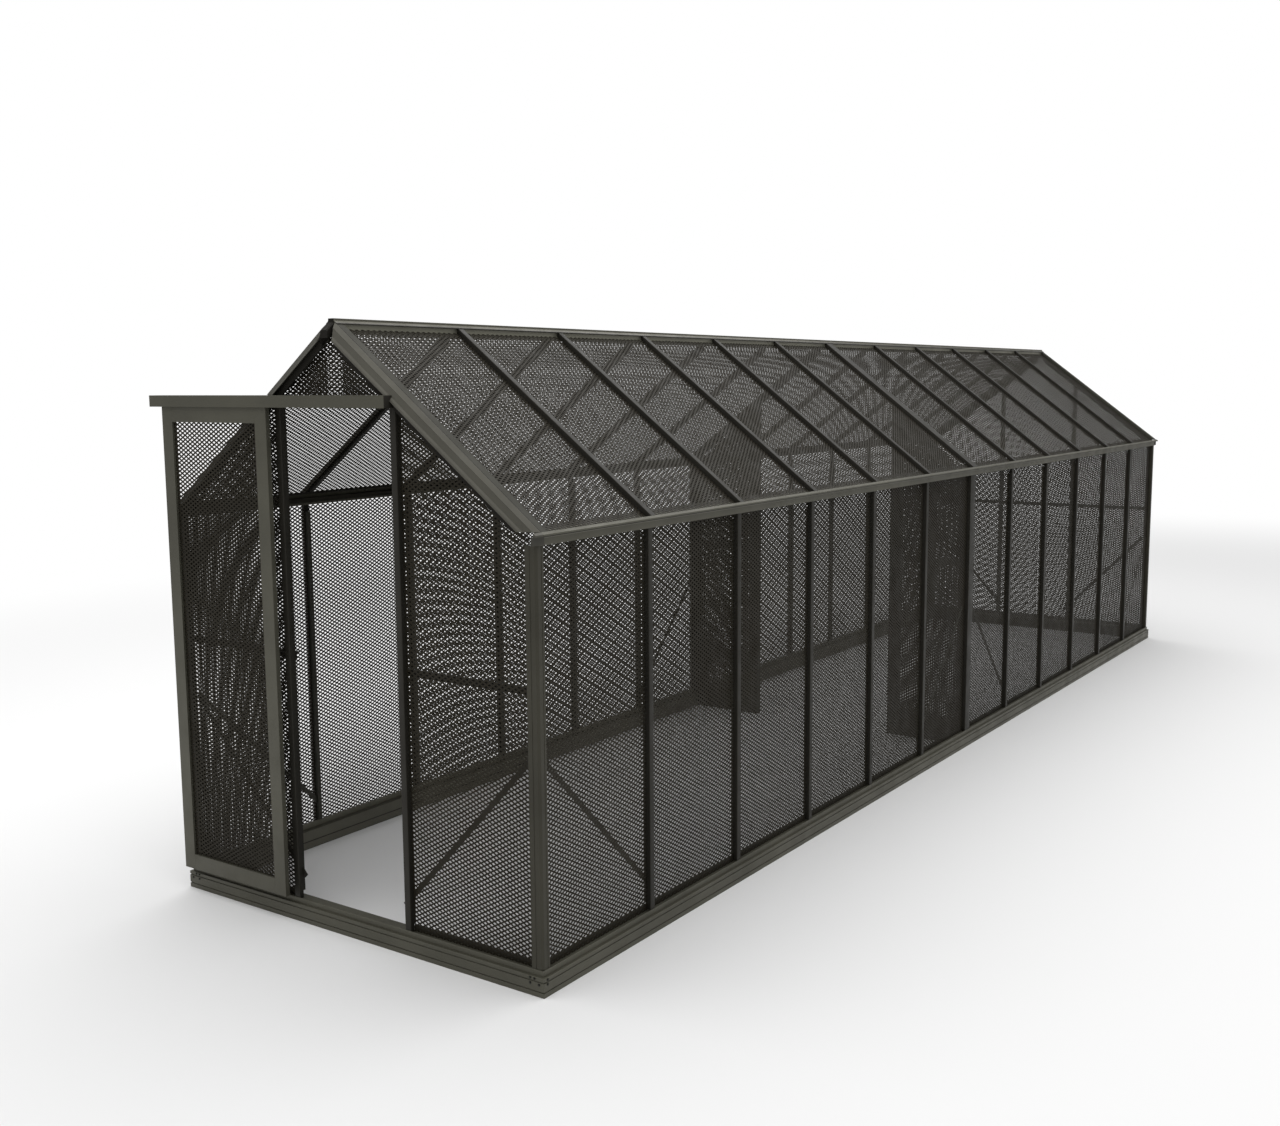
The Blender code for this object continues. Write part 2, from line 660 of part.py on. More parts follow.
def ridge_beam(house, label, start, end):
    """Ridge: a cap with two wings over the bars' ends and a channel below."""
    tangent = math.tan(PITCH)
    rise = RIDGE_WALL / math.cos(PITCH)
    gap = SEAT_GAP / math.cos(PITCH)
    cap = RIDGE_CAP / 2
    side, inside = RIDGE_SIDE, RIDGE_SIDE - RIDGE_WALL
    half = [
        (cap, -cap * tangent + rise + RIDGE_CAP_RISE), (cap, -cap * tangent + rise + gap),
        (RIDGE_WING, -RIDGE_WING * tangent + rise + gap), (RIDGE_WING, -RIDGE_WING * tangent + gap),
        (side, -side * tangent + gap), (side, -RIDGE_LEG), (side - RIDGE_FOOT, -RIDGE_LEG),
        (side - RIDGE_FOOT, -RIDGE_LEG + RIDGE_WALL), (inside, -RIDGE_LEG + RIDGE_WALL),
        (inside, -inside * tangent - RIDGE_WALL),
    ]
    outline = half + [(-x, z) for x, z in reversed(half)]
    axes = Axes(Vector((0, 0, RIDGE_HEIGHT)), X_AXIS, Z_AXIS, Y_AXIS)
    piece(f"ridge_beam_{label}", [prism(axes, outline, start, end)], "frame", house)


def gable_rafter(house, side, back):
    """The sloping edge of a gable: an upright face, a bead, a top flange and a return to the roof mesh."""
    up, out = slope_up(side)
    y = LENGTH - RAFTER_Y if back else RAFTER_Y
    axes = Axes(Vector((side * EDGE_X, y, EAVE_HEIGHT)), -Y_AXIS if back else Y_AXIS, out, up)
    wall, top, bead = RAFTER_WALL, RAFTER_TOP, RAFTER_BEAD
    outline = [
        (0, -RAFTER_FACE), (0, -2 * bead), (0.001, -2 * bead + 0.0005), (0.001, -bead - 0.0005),
        (0, -bead), (0, -SEAT_GAP), (top, -SEAT_GAP), (top, -BAR_HEAD), (top - wall, -BAR_HEAD),
        (top - wall, -wall), (wall, -wall), (wall, -RAFTER_FACE),
    ]
    name = f"gable_rafter_{'back' if back else 'front'}_{'right' if side > 0 else 'left'}"
    foot = Cut(axes.at(0, 0, EAVE_LIP_WIDTH + SEAT_GAP), Z_AXIS)
    piece(name, [prism(axes, outline, foot, ridge_cut(side, 0))], "frame", house)


def mid_rafter(house, side):
    """The double rafter above the mid post."""
    run = roof_run(side)
    head, stems = mid_bar_parts(run, EAVE_LIP_WIDTH + SEAT_GAP, ridge_cut(side, 0), roof_stem_start(),
                                ridge_cut(side, HEM), (-SEAT_GAP, -BAR_HEAD))
    rafter = piece(f"mid_rafter_{'right' if side > 0 else 'left'}", [head], "dark", house)
    fuse(rafter, "stems", stems)


def gable_bar(house, side, back):
    """An upright of a gable with the foot of its panel's brace. At the front it is a door post."""
    wall = end_wall(back)
    axes = Axes(wall.corner, wall.a, wall.t, Z_AXIS)
    centre = side * GABLE_BAR_AT
    half, stem = BAR_WIDTH / 2, STEM_WIDTH / 2
    top = roof_cut(side, RAFTER_LOW)
    head = [(BAR_SETBACK, centre - half), (BAR_SETBACK, centre + half),
            (HEAD_BACK, centre + half), (HEAD_BACK, centre - half)]
    web = [(HEAD_BACK - FUSE_DEPTH, centre - stem), (HEAD_BACK - FUSE_DEPTH, centre + stem),
           (STEM_BACK, centre + stem), (STEM_BACK, centre - stem)]
    name = f"{'back_bar' if back else 'door_post'}_{'right' if side > 0 else 'left'}"
    bar = piece(name, [prism(axes, head, LEDGE, top)], "dark", house)
    fuse(bar, "stem", [prism(axes, web, STEM_FOOT, roof_cut(side, RAFTER_LOW - HEM))])
    foot = (side * (GABLE_BAR_AT - BRACE_TIP), BRACE_FOOT - BRACE_TIP * 0.6)
    end = (side * (FACE_X - BRACE_INSET), BRACE_TOP)
    fuse(bar, "brace", [brace_strip(wall, foot, end, BEHIND_SHEET)])


def mid_rail(house, name, back, limits):
    """A light angle across a gable panel, behind the bars."""
    wall = end_wall(back)
    near = STEM_BACK + SEAT_GAP
    low, high, leg = RAIL_HEIGHT, RAIL_HEIGHT + RAIL_WIDTH, near + RAIL_LEG
    outline = [(near, low), (near, high), (leg, high), (leg, high - RAIL_WALL),
               (near + RAIL_WALL, high - RAIL_WALL), (near + RAIL_WALL, low)]
    piece(name, [prism(wall, outline, limits[0], limits[1])], "dark", house)


def slots(lines, low, tops):
    """The openings through which the bars' stems pass. tops gives their height on both sides of a line."""
    return [[(line - STEM_HALF, low), (line + STEM_HALF, low), (line + STEM_HALF, tops(line + STEM_HALF)),
             (line - STEM_HALF, tops(line - STEM_HALF))] for line in lines]


def bay_limits(module, lines):
    """The limits of a module's sheet along the house, and of the openings in each of its bays."""
    outer = BASE_STEP + SHEET_IN + SEAT_GAP
    corner = BASE_STEP + POST_BACK
    near = mid_stem_lines()[module] + (STEM_HALF if module else -STEM_HALF)
    start, end = (near, LENGTH - outer) if module else (outer, near)
    edges = [near + SHEET_BORDER] if module else [corner]
    for line in lines:
        edges += [line - STEM_HALF - SHEET_BORDER, line + STEM_HALF + SHEET_BORDER]
    edges.append(LENGTH - corner if module else near - SHEET_BORDER)
    return start, end, list(zip(edges[::2], edges[1::2]))


def wall_mesh(house, side, label, module):
    """One module's wall mesh, slotted where the bars' stems pass through it."""
    axes = side_wall(side)
    flat = Axes(axes.corner, axes.t, axes.b, axes.a)
    lines = bar_lines(module)
    start, end, bays = bay_limits(module, lines)
    gaps = slots(lines, UPSTAND_TOP, lambda _: STEM_TOP + SLOT_PLAY)
    for left, right in bays:
        gaps += openings(left, right, OPENING_LOW, (STEM_TOP, STEM_TOP), WALL_ROWS)
    outline = [(start, LEDGE), (end, LEDGE), (end, WALL_TOP), (start, WALL_TOP)]
    piece(f"wall_mesh_{label}", [pierced(flat, outline, gaps, SHEET_OUT, SHEET_IN)], "mesh", house)


def roof_mesh(house, side, label, module):
    """One module's roof mesh, resting on the eave's seat and slotted at the bars."""
    run = roof_run(side)
    flat = Axes(run.corner, run.b, run.t, run.a)
    lines = bar_lines(module)
    start, end, bays = bay_limits(module, lines)
    outer = RAFTER_Y + RAFTER_WALL + SEAT_GAP
    start, end = (start, LENGTH - outer) if module else (outer, end)
    top = (EDGE_X - BAR_END_X + ROOF_SHEET_IN * math.sin(PITCH)) / math.cos(PITCH)
    foot = EAVE_LIP_WIDTH + SEAT_GAP
    gaps = slots(lines, roof_stem_start() - SLOT_PLAY, lambda _: top - HEM / 2)
    for left, right in bays:
        gaps += openings(left, right, roof_stem_start(), (top - HEM, top - HEM), ROOF_ROWS)
    outline = [(start, foot), (end, foot), (end, top), (start, top)]
    piece(f"roof_mesh_{label}", [pierced(flat, outline, gaps, ROOF_SHEET_OUT, ROOF_SHEET_IN)], "mesh", house)


def gable_sheet_edge():
    return FACE_X - SHEET_OUT


def eave_seat_edge():
    """How far in the eave beam reaches: a gable's mesh is notched round it."""
    low_corner = (SEAT_FACE - EAVE_WALL) * math.sin(PITCH)
    return EDGE_X - (EAVE_LIP_WIDTH + EAVE_SEAT) * math.cos(PITCH) + low_corner - SEAT_GAP


def under_ridge():
    """Height and half width at which a gable's mesh stops below the ridge channel."""
    height = RIDGE_HEIGHT - RIDGE_LEG - SEAT_GAP
    half = EDGE_X - (height - EAVE_HEIGHT - GABLE_TOP / math.cos(PITCH)) / math.tan(PITCH)
    return height, half


def peak_opening(low):
    """The three-cornered opening under the ridge, above a height."""
    half = EDGE_X - (low - EAVE_HEIGHT - OPENING_BELOW_ROOF / math.cos(PITCH)) / math.tan(PITCH)
    return [(-half, low), (half, low), (0, roof_height(0, OPENING_BELOW_ROOF))]


def panel_openings(side):
    """The openings of a gable's outer panel, the last one sloping with the roof."""
    inner, outer = GABLE_BAR_AT + STEM_HALF + SHEET_BORDER, FACE_X - POST_INNER
    tops = (roof_height(inner, OPENING_BELOW_ROOF), roof_height(outer, OPENING_BELOW_ROOF))
    return openings(side * inner, side * outer, OPENING_LOW, tops, WALL_ROWS)


def front_panel_mesh(house, side):
    """The mesh beside the doorway, up to the rafter."""
    wall = end_wall(False)
    inner = GABLE_BAR_AT + STEM_HALF
    outer = gable_sheet_edge()
    notch = eave_seat_edge()
    outline = [(side * inner, LEDGE), (side * outer, LEDGE), (side * outer, WALL_TOP), (side * notch, WALL_TOP),
               (side * notch, roof_height(notch, GABLE_TOP)), (side * inner, roof_height(inner, GABLE_TOP))]
    flat = Axes(wall.corner, X_AXIS, Z_AXIS, wall.a)
    sheet = pierced(flat, outline, panel_openings(side), SHEET_OUT, SHEET_IN)
    piece(f"front_mesh_{'right' if side > 0 else 'left'}", [sheet], "mesh", house)


def gable_mesh(house):
    """The mesh above the doorway, between the door posts."""
    wall = end_wall(False)
    half = GABLE_BAR_AT - STEM_HALF
    bottom = TRACK_TOP - TRACK_HOOD
    height, narrow = under_ridge()
    outline = [(-half, bottom), (half, bottom), (half, roof_height(half, GABLE_TOP)), (narrow, height),
               (-narrow, height), (-half, roof_height(half, GABLE_TOP))]
    flat = Axes(wall.corner, X_AXIS, Z_AXIS, wall.a)
    sheet = pierced(flat, outline, [peak_opening(TRACK_TOP + SHEET_BORDER)], SHEET_OUT, SHEET_IN)
    piece("front_mesh_top", [sheet], "mesh", house)


def back_mesh(house):
    """The whole back gable's mesh, slotted at its two bars."""
    wall = end_wall(True)
    edge, notch = gable_sheet_edge(), eave_seat_edge()
    height, narrow = under_ridge()
    half = [(edge, LEDGE), (edge, WALL_TOP), (notch, WALL_TOP), (notch, roof_height(notch, GABLE_TOP)),
            (narrow, height)]
    outline = half + [(-x, z) for x, z in reversed(half)]
    gaps = slots([-GABLE_BAR_AT, GABLE_BAR_AT], UPSTAND_TOP,
                 lambda x: roof_height(x, RAFTER_LOW - HEM) + SLOT_PLAY)
    middle = GABLE_BAR_AT - STEM_HALF - SHEET_BORDER
    top = roof_height(middle, OPENING_BELOW_ROOF)
    gaps += panel_openings(1) + panel_openings(-1)
    gaps += openings(-middle, middle, OPENING_LOW, (top, top), MIDDLE_ROWS)
    gaps.append(peak_opening(top + SHEET_STRAND))
    flat = Axes(wall.corner, X_AXIS, Z_AXIS, wall.a)
    piece("back_mesh", [pierced(flat, outline, gaps, SHEET_OUT, SHEET_IN)], "mesh", house)


def partition_axes():
    return Axes(Vector((0, MIDDLE - PARTITION_THICK / 2, 0)), X_AXIS, Z_AXIS, Y_AXIS)


def partition_frame(house, side):
    """One leaf of the fixed partition: stiles, floor rail, mid rail and sloping head in one, and a brace."""
    axes = partition_axes()
    inner = PARTITION_OPENING / 2
    outer = FACE_X - STEM_BACK - SEAT_GAP
    foot = FACE_X - BASE_DEPTH - SEAT_GAP
    columns = [inner, inner + PARTITION_STILE, outer - PARTITION_EDGE, outer]

    sill = LEDGE + UPSTAND_HEIGHT

    def rows(x):
        top = roof_height(x, ROOF_STEM_IN - SEAT_GAP)
        if x > columns[1]:
            top = min(top, EAVE_BOTTOM - SEAT_GAP)
        return [sill, sill + PARTITION_EDGE, RAIL_HEIGHT, RAIL_HEIGHT + RAIL_WIDTH, top - PARTITION_EDGE, top]

    holes = [(1, 1), (1, 3)]
    solid = grid(lambda x, z, y: axes.at(side * x, z, y), columns, rows, holes, 0, PARTITION_THICK)
    frame = piece(f"partition_frame_{'right' if side > 0 else 'left'}", [solid], "dark", house)
    joined = sill + PARTITION_EDGE / 2
    low = [(side * inner, 0), (side * foot, 0), (side * foot, joined), (side * inner, joined)]
    inset = PARTITION_RAIL_INSET
    fuse(frame, "floor_rail", [prism(axes, low, inset, PARTITION_THICK - inset)])
    strip = Axes(axes.corner, Y_AXIS, Z_AXIS, X_AXIS)
    brace = brace_strip(strip, (side * (inner + PARTITION_STILE / 2), BRACE_FOOT + BRACE_WIDTH),
                        (side * (outer - PARTITION_EDGE / 2), BRACE_TOP), PARTITION_THICK / 2)
    fuse(frame, "brace", [brace])


def partition_mesh(house, side):
    """The sheet on the partition's front."""
    axes = partition_axes()
    inner = PARTITION_OPENING / 2 + SLOT_PLAY
    outer = FACE_X - STEM_BACK - SEAT_GAP
    bottom = LEDGE + UPSTAND_HEIGHT
    outline = [(side * inner, bottom), (side * outer, bottom), (side * outer, EAVE_BOTTOM - SEAT_GAP),
               (side * inner, roof_height(inner, ROOF_STEM_IN - SEAT_GAP))]
    left, right = PARTITION_OPENING / 2 + PARTITION_STILE, outer - PARTITION_EDGE
    low_top = EAVE_BOTTOM - SEAT_GAP - PARTITION_EDGE
    tops = (roof_height(left, ROOF_STEM_IN - SEAT_GAP) - PARTITION_EDGE, low_top)
    gaps = openings(side * left, side * right, bottom + PARTITION_EDGE, tops, WALL_ROWS)
    sheet = pierced(axes, outline, gaps, -SEAT_GAP - SHEET, -SEAT_GAP)
    piece(f"partition_mesh_{'right' if side > 0 else 'left'}", [sheet], "mesh", house)


def track(house):
    """The hooded rail over the doorway, with a ledge for the rollers and a stop at each end."""
    axes = Axes(Vector((0, 0, 0)), Y_AXIS, Z_AXIS, X_AXIS)
    wall, bottom = TRACK_WALL, TRACK_TOP - TRACK_HOOD
    inside = TRACK_BACK - wall
    outline = [
        (TRACK_FRONT, bottom), (TRACK_FRONT + wall, bottom), (TRACK_FRONT + wall, TRACK_TOP - wall),
        (inside, TRACK_TOP - wall), (inside, TRACK_LEDGE), (TRACK_LEDGE_EDGE, TRACK_LEDGE),
        (TRACK_LEDGE_EDGE, TRACK_LEDGE - wall), (inside, TRACK_LEDGE - wall), (inside, bottom),
        (TRACK_BACK, bottom), (TRACK_BACK, TRACK_TOP), (TRACK_FRONT, TRACK_TOP),
    ]
    rail = piece("door_track", [prism(axes, outline, TRACK_LEFT, TRACK_RIGHT)], "frame", house)
    left = DOOR_OPEN_AT - DOOR_WIDTH / 2 + ROLLER_INSET - ROLLER_RADIUS - SEAT_GAP
    right = DOOR_OPEN_AT + DOOR_WIDTH / 2 - ROLLER_INSET + ROLLER_RADIUS + DOOR_TRAVEL + SEAT_GAP
    stops = [block(axes, (TRACK_LEDGE_EDGE + SEAT_GAP, inside + FUSE_DEPTH),
                   (TRACK_LEDGE - FUSE_DEPTH, TRACK_LEDGE + STOP_HEIGHT), limits)
             for limits in ((left - STOP_LENGTH, left), (right, right + STOP_LENGTH))]
    fuse(rail, "stops", stops)


def door_section(width):
    """A hollow-look frame member: flat faces, with a slot along its inner edge for the mesh."""
    middle = DOOR_THICK / 2
    half = MESH_SLOT_WIDTH / 2
    return [(0, 0.001), (0.001, 0), (width, 0), (width, middle - half), (width - MESH_SLOT_DEPTH, middle - half),
            (width - MESH_SLOT_DEPTH, middle + half), (width, middle + half), (width, DOOR_THICK),
            (0.001, DOOR_THICK), (0, DOOR_THICK - 0.001)]


def door_frame(leaf):
    """Two stiles, and two rails between them. The leaf's own frame has its middle at X = 0."""
    half = DOOR_WIDTH / 2
    for label, side in (("left", -1), ("right", 1)):
        axes = Axes(Vector((side * half, 0, 0)), -side * X_AXIS, Y_AXIS, Z_AXIS)
        stile = prism(axes, door_section(DOOR_STILE), DOOR_BOTTOM, DOOR_TOP)
        piece(f"door_stile_{label}", [stile], "frame", leaf)
    reach = half - DOOR_STILE - SEAT_GAP
    head = Axes(Vector((0, 0, DOOR_TOP)), -Z_AXIS, Y_AXIS, X_AXIS)
    piece("door_rail_top", [prism(head, door_section(DOOR_HEAD_RAIL), -reach, reach)], "frame", leaf)
    foot = Axes(Vector((0, 0, DOOR_BOTTOM)), Z_AXIS, Y_AXIS, X_AXIS)
    piece("door_rail_bottom", [prism(foot, door_section(DOOR_FOOT_RAIL), -reach, reach)], "frame", leaf)


def door_net(leaf):
    """The leaf's diamond net inside a flat border, cut from one sheet and held in the frame's slots."""
    half = DOOR_WIDTH / 2 - DOOR_STILE + MESH_SLOT_DEPTH - SLOT_PLAY
    bottom = DOOR_BOTTOM + DOOR_FOOT_RAIL - MESH_SLOT_DEPTH + SLOT_PLAY
    top = DOOR_TOP - DOOR_HEAD_RAIL + MESH_SLOT_DEPTH - SLOT_PLAY
    outline = [(-half, bottom), (half, bottom), (half, top), (-half, top)]
    inner = half - NET_BORDER
    gaps = diamonds(-inner, inner, bottom + NET_BORDER, top - NET_BORDER, NET_ACROSS, NET_UP, NET_STRAND)
    flat = Axes(Vector((0, DOOR_THICK / 2, 0)), X_AXIS, Z_AXIS, Y_AXIS)
    piece("door_mesh", [pierced(flat, outline, gaps, -NET_THICK / 2, NET_THICK / 2)], "mesh", leaf)


def roller_places():
    reach = DOOR_WIDTH / 2 - ROLLER_INSET
    return (("left", -reach), ("right", reach))


def hangers(leaf):
    """An angle screwed on top of the leaf carries each roller's axle."""
    front = DOOR_FRONT
    for label, x in roller_places():
        axes = Axes(Vector((x, -front, 0)), Y_AXIS, Z_AXIS, X_AXIS)
        foot = DOOR_TOP + SEAT_GAP
        back, wall = HANGER_BACK, HANGER_WALL
        outline = [(front + FOOT_SETBACK, foot), (back, foot), (back, HANGER_TOP), (back - wall, HANGER_TOP),
                   (back - wall, foot + wall), (front + FOOT_SETBACK, foot + wall)]
        angle = prism(axes, outline, -HANGER_WIDTH / 2, HANGER_WIDTH / 2)
        hanger = piece(f"hanger_{label}", [angle], "dark", leaf)
        near, far = ROLLER_Y - ROLLER_WIDTH / 2, ROLLER_Y + ROLLER_WIDTH / 2
        pin = Axes(Vector((x, -front, ROLLER_Z)), X_AXIS, Z_AXIS, Y_AXIS)
        profile = [(0.0, back - wall / 2), (AXLE_HEAD, back - wall / 2), (AXLE_HEAD, near - SEAT_GAP),
                   (AXLE_RADIUS, near - SEAT_GAP), (AXLE_RADIUS, far + SEAT_GAP), (AXLE_HEAD, far + SEAT_GAP),
                   (AXLE_HEAD, far + AXLE_END), (0.0, far + AXLE_END)]
        fuse(hanger, "axle", [turned(pin, profile, 16)])


def rollers(leaf):
    """Nylon wheels with a raised rim each side, on their axles."""
    for label, x in roller_places():
        half, rim = ROLLER_WIDTH / 2, ROLLER_RIM
        profile = [(ROLLER_BORE, -half), (ROLLER_RADIUS, -half), (ROLLER_RADIUS, -half + rim),
                   (ROLLER_RADIUS - 0.001, -half + 2 * rim), (ROLLER_RADIUS - 0.001, half - 2 * rim),
                   (ROLLER_RADIUS, half - rim), (ROLLER_RADIUS, half), (ROLLER_BORE, half)]
        spin = Axes(Vector((0, 0, 0)), X_AXIS, Z_AXIS, Y_AXIS)
        piece(f"roller_{label}", [turned(spin, profile, 24)], "nylon", leaf, (x, ROLLER_Y - DOOR_FRONT, ROLLER_Z))


def guides(leaf):
    """Nylon angles under the leaf that run along the front of the base rail's sill, above its step."""
    face = BASE_STEP - GUIDE_CLEAR - DOOR_FRONT
    top = DOOR_BOTTOM - SEAT_GAP
    for label, side in (("left", -1), ("right", 1)):
        x = side * (DOOR_WIDTH / 2 - GUIDE_INSET)
        axes = Axes(Vector((x, 0, 0)), Y_AXIS, Z_AXIS, X_AXIS)
        low, back = top - GUIDE_DROP, face - GUIDE_WALL
        outline = [(FOOT_SETBACK, top), (face, top), (face, low), (back, low),
                   (back, top - GUIDE_WALL), (FOOT_SETBACK, top - GUIDE_WALL)]
        angle = prism(axes, outline, -GUIDE_WIDTH / 2, GUIDE_WIDTH / 2)
        piece(f"door_guide_{label}", [angle], "nylon", leaf)


def build_house(house):
    end_base(house, False)
    end_base(house, True)
    for side, hand in ((1, "right"), (-1, "left")):
        for module, place in enumerate(("front", "rear")):
            label = f"{hand}_{place}"
            side_base(house, side, label, module)
            eave_beam(house, side, label, module)
            wall_mesh(house, side, label, module)
            roof_mesh(house, side, label, module)
        for back in (False, True):
            corner_post(house, side, back)
            gable_rafter(house, side, back)
            gable_bar(house, side, back)
        mid_post(house, side)
        mid_rafter(house, side)
        front_panel_mesh(house, side)
        partition_frame(house, side)
        partition_mesh(house, side)
    ridge_beam(house, "front", RAFTER_Y, MIDDLE - MIRROR_GAP)
    ridge_beam(house, "rear", MIDDLE + MIRROR_GAP, LENGTH - RAFTER_Y)
    gable_mesh(house)
    back_mesh(house)
    inner, outer = GABLE_BAR_AT - BAR_WIDTH / 2, FACE_X - SHEET_IN - SEAT_GAP
    mid_rail(house, "mid_rail_front_right", False, (inner, outer))
    mid_rail(house, "mid_rail_front_left", False, (-outer, -inner))
    mid_rail(house, "mid_rail_back", True, (-outer, outer))
    track(house)


def build_door(house):
    leaf = holder("door_leaf", house, (DOOR_OPEN_AT, DOOR_FRONT, 0))
    door_frame(leaf)
    door_net(leaf)
    hangers(leaf)
    rollers(leaf)
    guides(leaf)


def main():
    for item in list(bpy.data.objects):
        bpy.data.objects.remove(item)
    centre_x = (TRACK_LEFT + EDGE_X) / 2
    centre_y = (TRACK_FRONT + LENGTH) / 2
    house = holder("house", None, (-centre_x, -centre_y, 0))
    build_house(house)
    build_door(house)


main()
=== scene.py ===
"""Looks of the shade house: its diamond mesh, fasteners and coatings, with the floor, light and camera.

Lengths are metres and +Z is up. X runs along the front, Y from the front to the back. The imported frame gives
the places; the sizes repeated here are those that its nodes do not show by themselves.
"""

import json
import logging
import math
from collections.abc import Callable
from dataclasses import dataclass
from enum import Enum
from functools import cache

import bmesh
import bpy
from bpy.types import Material, Mesh, Node, NodeSocket, NodeTree, Object
from mathutils import Matrix, Vector


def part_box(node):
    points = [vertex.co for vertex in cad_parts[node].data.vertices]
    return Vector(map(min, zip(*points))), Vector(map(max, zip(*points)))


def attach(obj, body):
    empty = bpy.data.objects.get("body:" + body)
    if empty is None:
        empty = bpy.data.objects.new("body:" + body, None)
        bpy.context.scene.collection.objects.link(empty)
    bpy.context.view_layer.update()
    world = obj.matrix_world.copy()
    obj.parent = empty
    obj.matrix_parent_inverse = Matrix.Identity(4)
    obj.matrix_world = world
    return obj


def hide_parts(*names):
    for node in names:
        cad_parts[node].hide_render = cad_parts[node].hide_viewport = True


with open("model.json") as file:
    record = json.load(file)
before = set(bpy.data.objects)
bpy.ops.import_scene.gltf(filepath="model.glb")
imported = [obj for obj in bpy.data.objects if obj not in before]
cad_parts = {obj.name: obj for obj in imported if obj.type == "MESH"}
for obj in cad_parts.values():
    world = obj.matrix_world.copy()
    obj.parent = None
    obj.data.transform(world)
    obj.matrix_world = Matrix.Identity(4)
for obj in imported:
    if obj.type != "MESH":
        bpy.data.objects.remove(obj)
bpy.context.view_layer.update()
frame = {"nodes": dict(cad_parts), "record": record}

LOG = logging.getLogger("shade_house")
UP = Vector((0, 0, 1))
WHITE = (1.0, 1.0, 1.0, 1.0)

Colour = tuple[float, float, float]
Span = tuple[float, float]
Corners = tuple[Span, ...]
Placed = tuple[Mesh, Matrix]
Limit = Callable[[float, float], float]


class Hand(Enum):
    """A side of the house, as seen from the front."""

    RIGHT = 1
    LEFT = -1

    @property
    def label(self) -> str:
        """The word that node names use for this side."""
        return self.name.lower()


class Slot(Enum):
    """The record's material slots."""

    FRAME = "frame_coat"
    DARK = "dark_coat"
    MESH = "mesh"
    NYLON = "nylon"


def around(middle: float, spread: float) -> Span:
    """The range that reaches as far below a value as above it."""
    return middle - spread, middle + spread


def facing(origin: Vector, along: Vector, up: Vector) -> Matrix:
    """The matrix that turns X, depth and height to two directions and the one between, at an origin."""
    return Matrix.Translation(origin) @ Matrix((along, up.cross(along), up)).transposed().to_4x4()


class NodeSketch:
    """Adds nodes to one tree and links them, so that a pattern reads as a few lines."""

    def __init__(self, tree: NodeTree) -> None:
        """Takes the tree that the nodes go into."""
        self.tree = tree

    def feed(self, node: Node, values: dict[str | int, object]) -> None:
        """Links some of a node's inputs to other sockets, or sets their values.

        Args:
            node: the node.
            values: a socket or a plain value for each input, by the input's name or number.
        """
        for key, value in values.items():
            if isinstance(value, NodeSocket):
                self.tree.links.new(value, node.inputs[key])
            else:
                node.inputs[key].default_value = value

    def node(self, kind: str, values: dict[str | int, object] | None = None, **settings: object) -> Node:
        """Adds one node.

        Args:
            kind: the node's type name.
            values: what its inputs are fed.
            settings: attributes of the node, set before its inputs.

        Returns:
            The new node.
        """
        made = self.tree.nodes.new(kind)
        for name, value in settings.items():
            setattr(made, name, value)
        self.feed(made, values or {})
        return made

    def math(self, operation: str, first: object, second: object = 0.0) -> NodeSocket:
        """Adds one calculation on sockets or numbers."""
        return self.node("ShaderNodeMath", {0: first, 1: second}, operation=operation).outputs[0]

    def vector(self, x: object, y: object, z: object) -> NodeSocket:
        """Joins three sockets or numbers into a vector."""
        return self.node("ShaderNodeCombineXYZ", {0: x, 1: y, 2: z}).outputs[0]

    def place(self) -> NodeSocket:
        """Gives the Object coordinates."""
        return self.node("ShaderNodeTexCoord").outputs["Object"]

    def noise(self, scale: float, detail: float) -> NodeSocket:
        """Adds a noise on Object coordinates, with so many waves in a metre and so many finer octaves."""
        values = {"Vector": self.place(), "Scale": scale, "Detail": detail}
        return self.node("ShaderNodeTexNoise", values).outputs["Fac"]

    def ramp(self, value: object, source: Span, target: Span, **settings: object) -> NodeSocket:
        """Stretches a value from one range to another and keeps it there."""
        values = dict(enumerate((value, *source, *target)))
        return self.node("ShaderNodeMapRange", values, **settings).outputs[0]


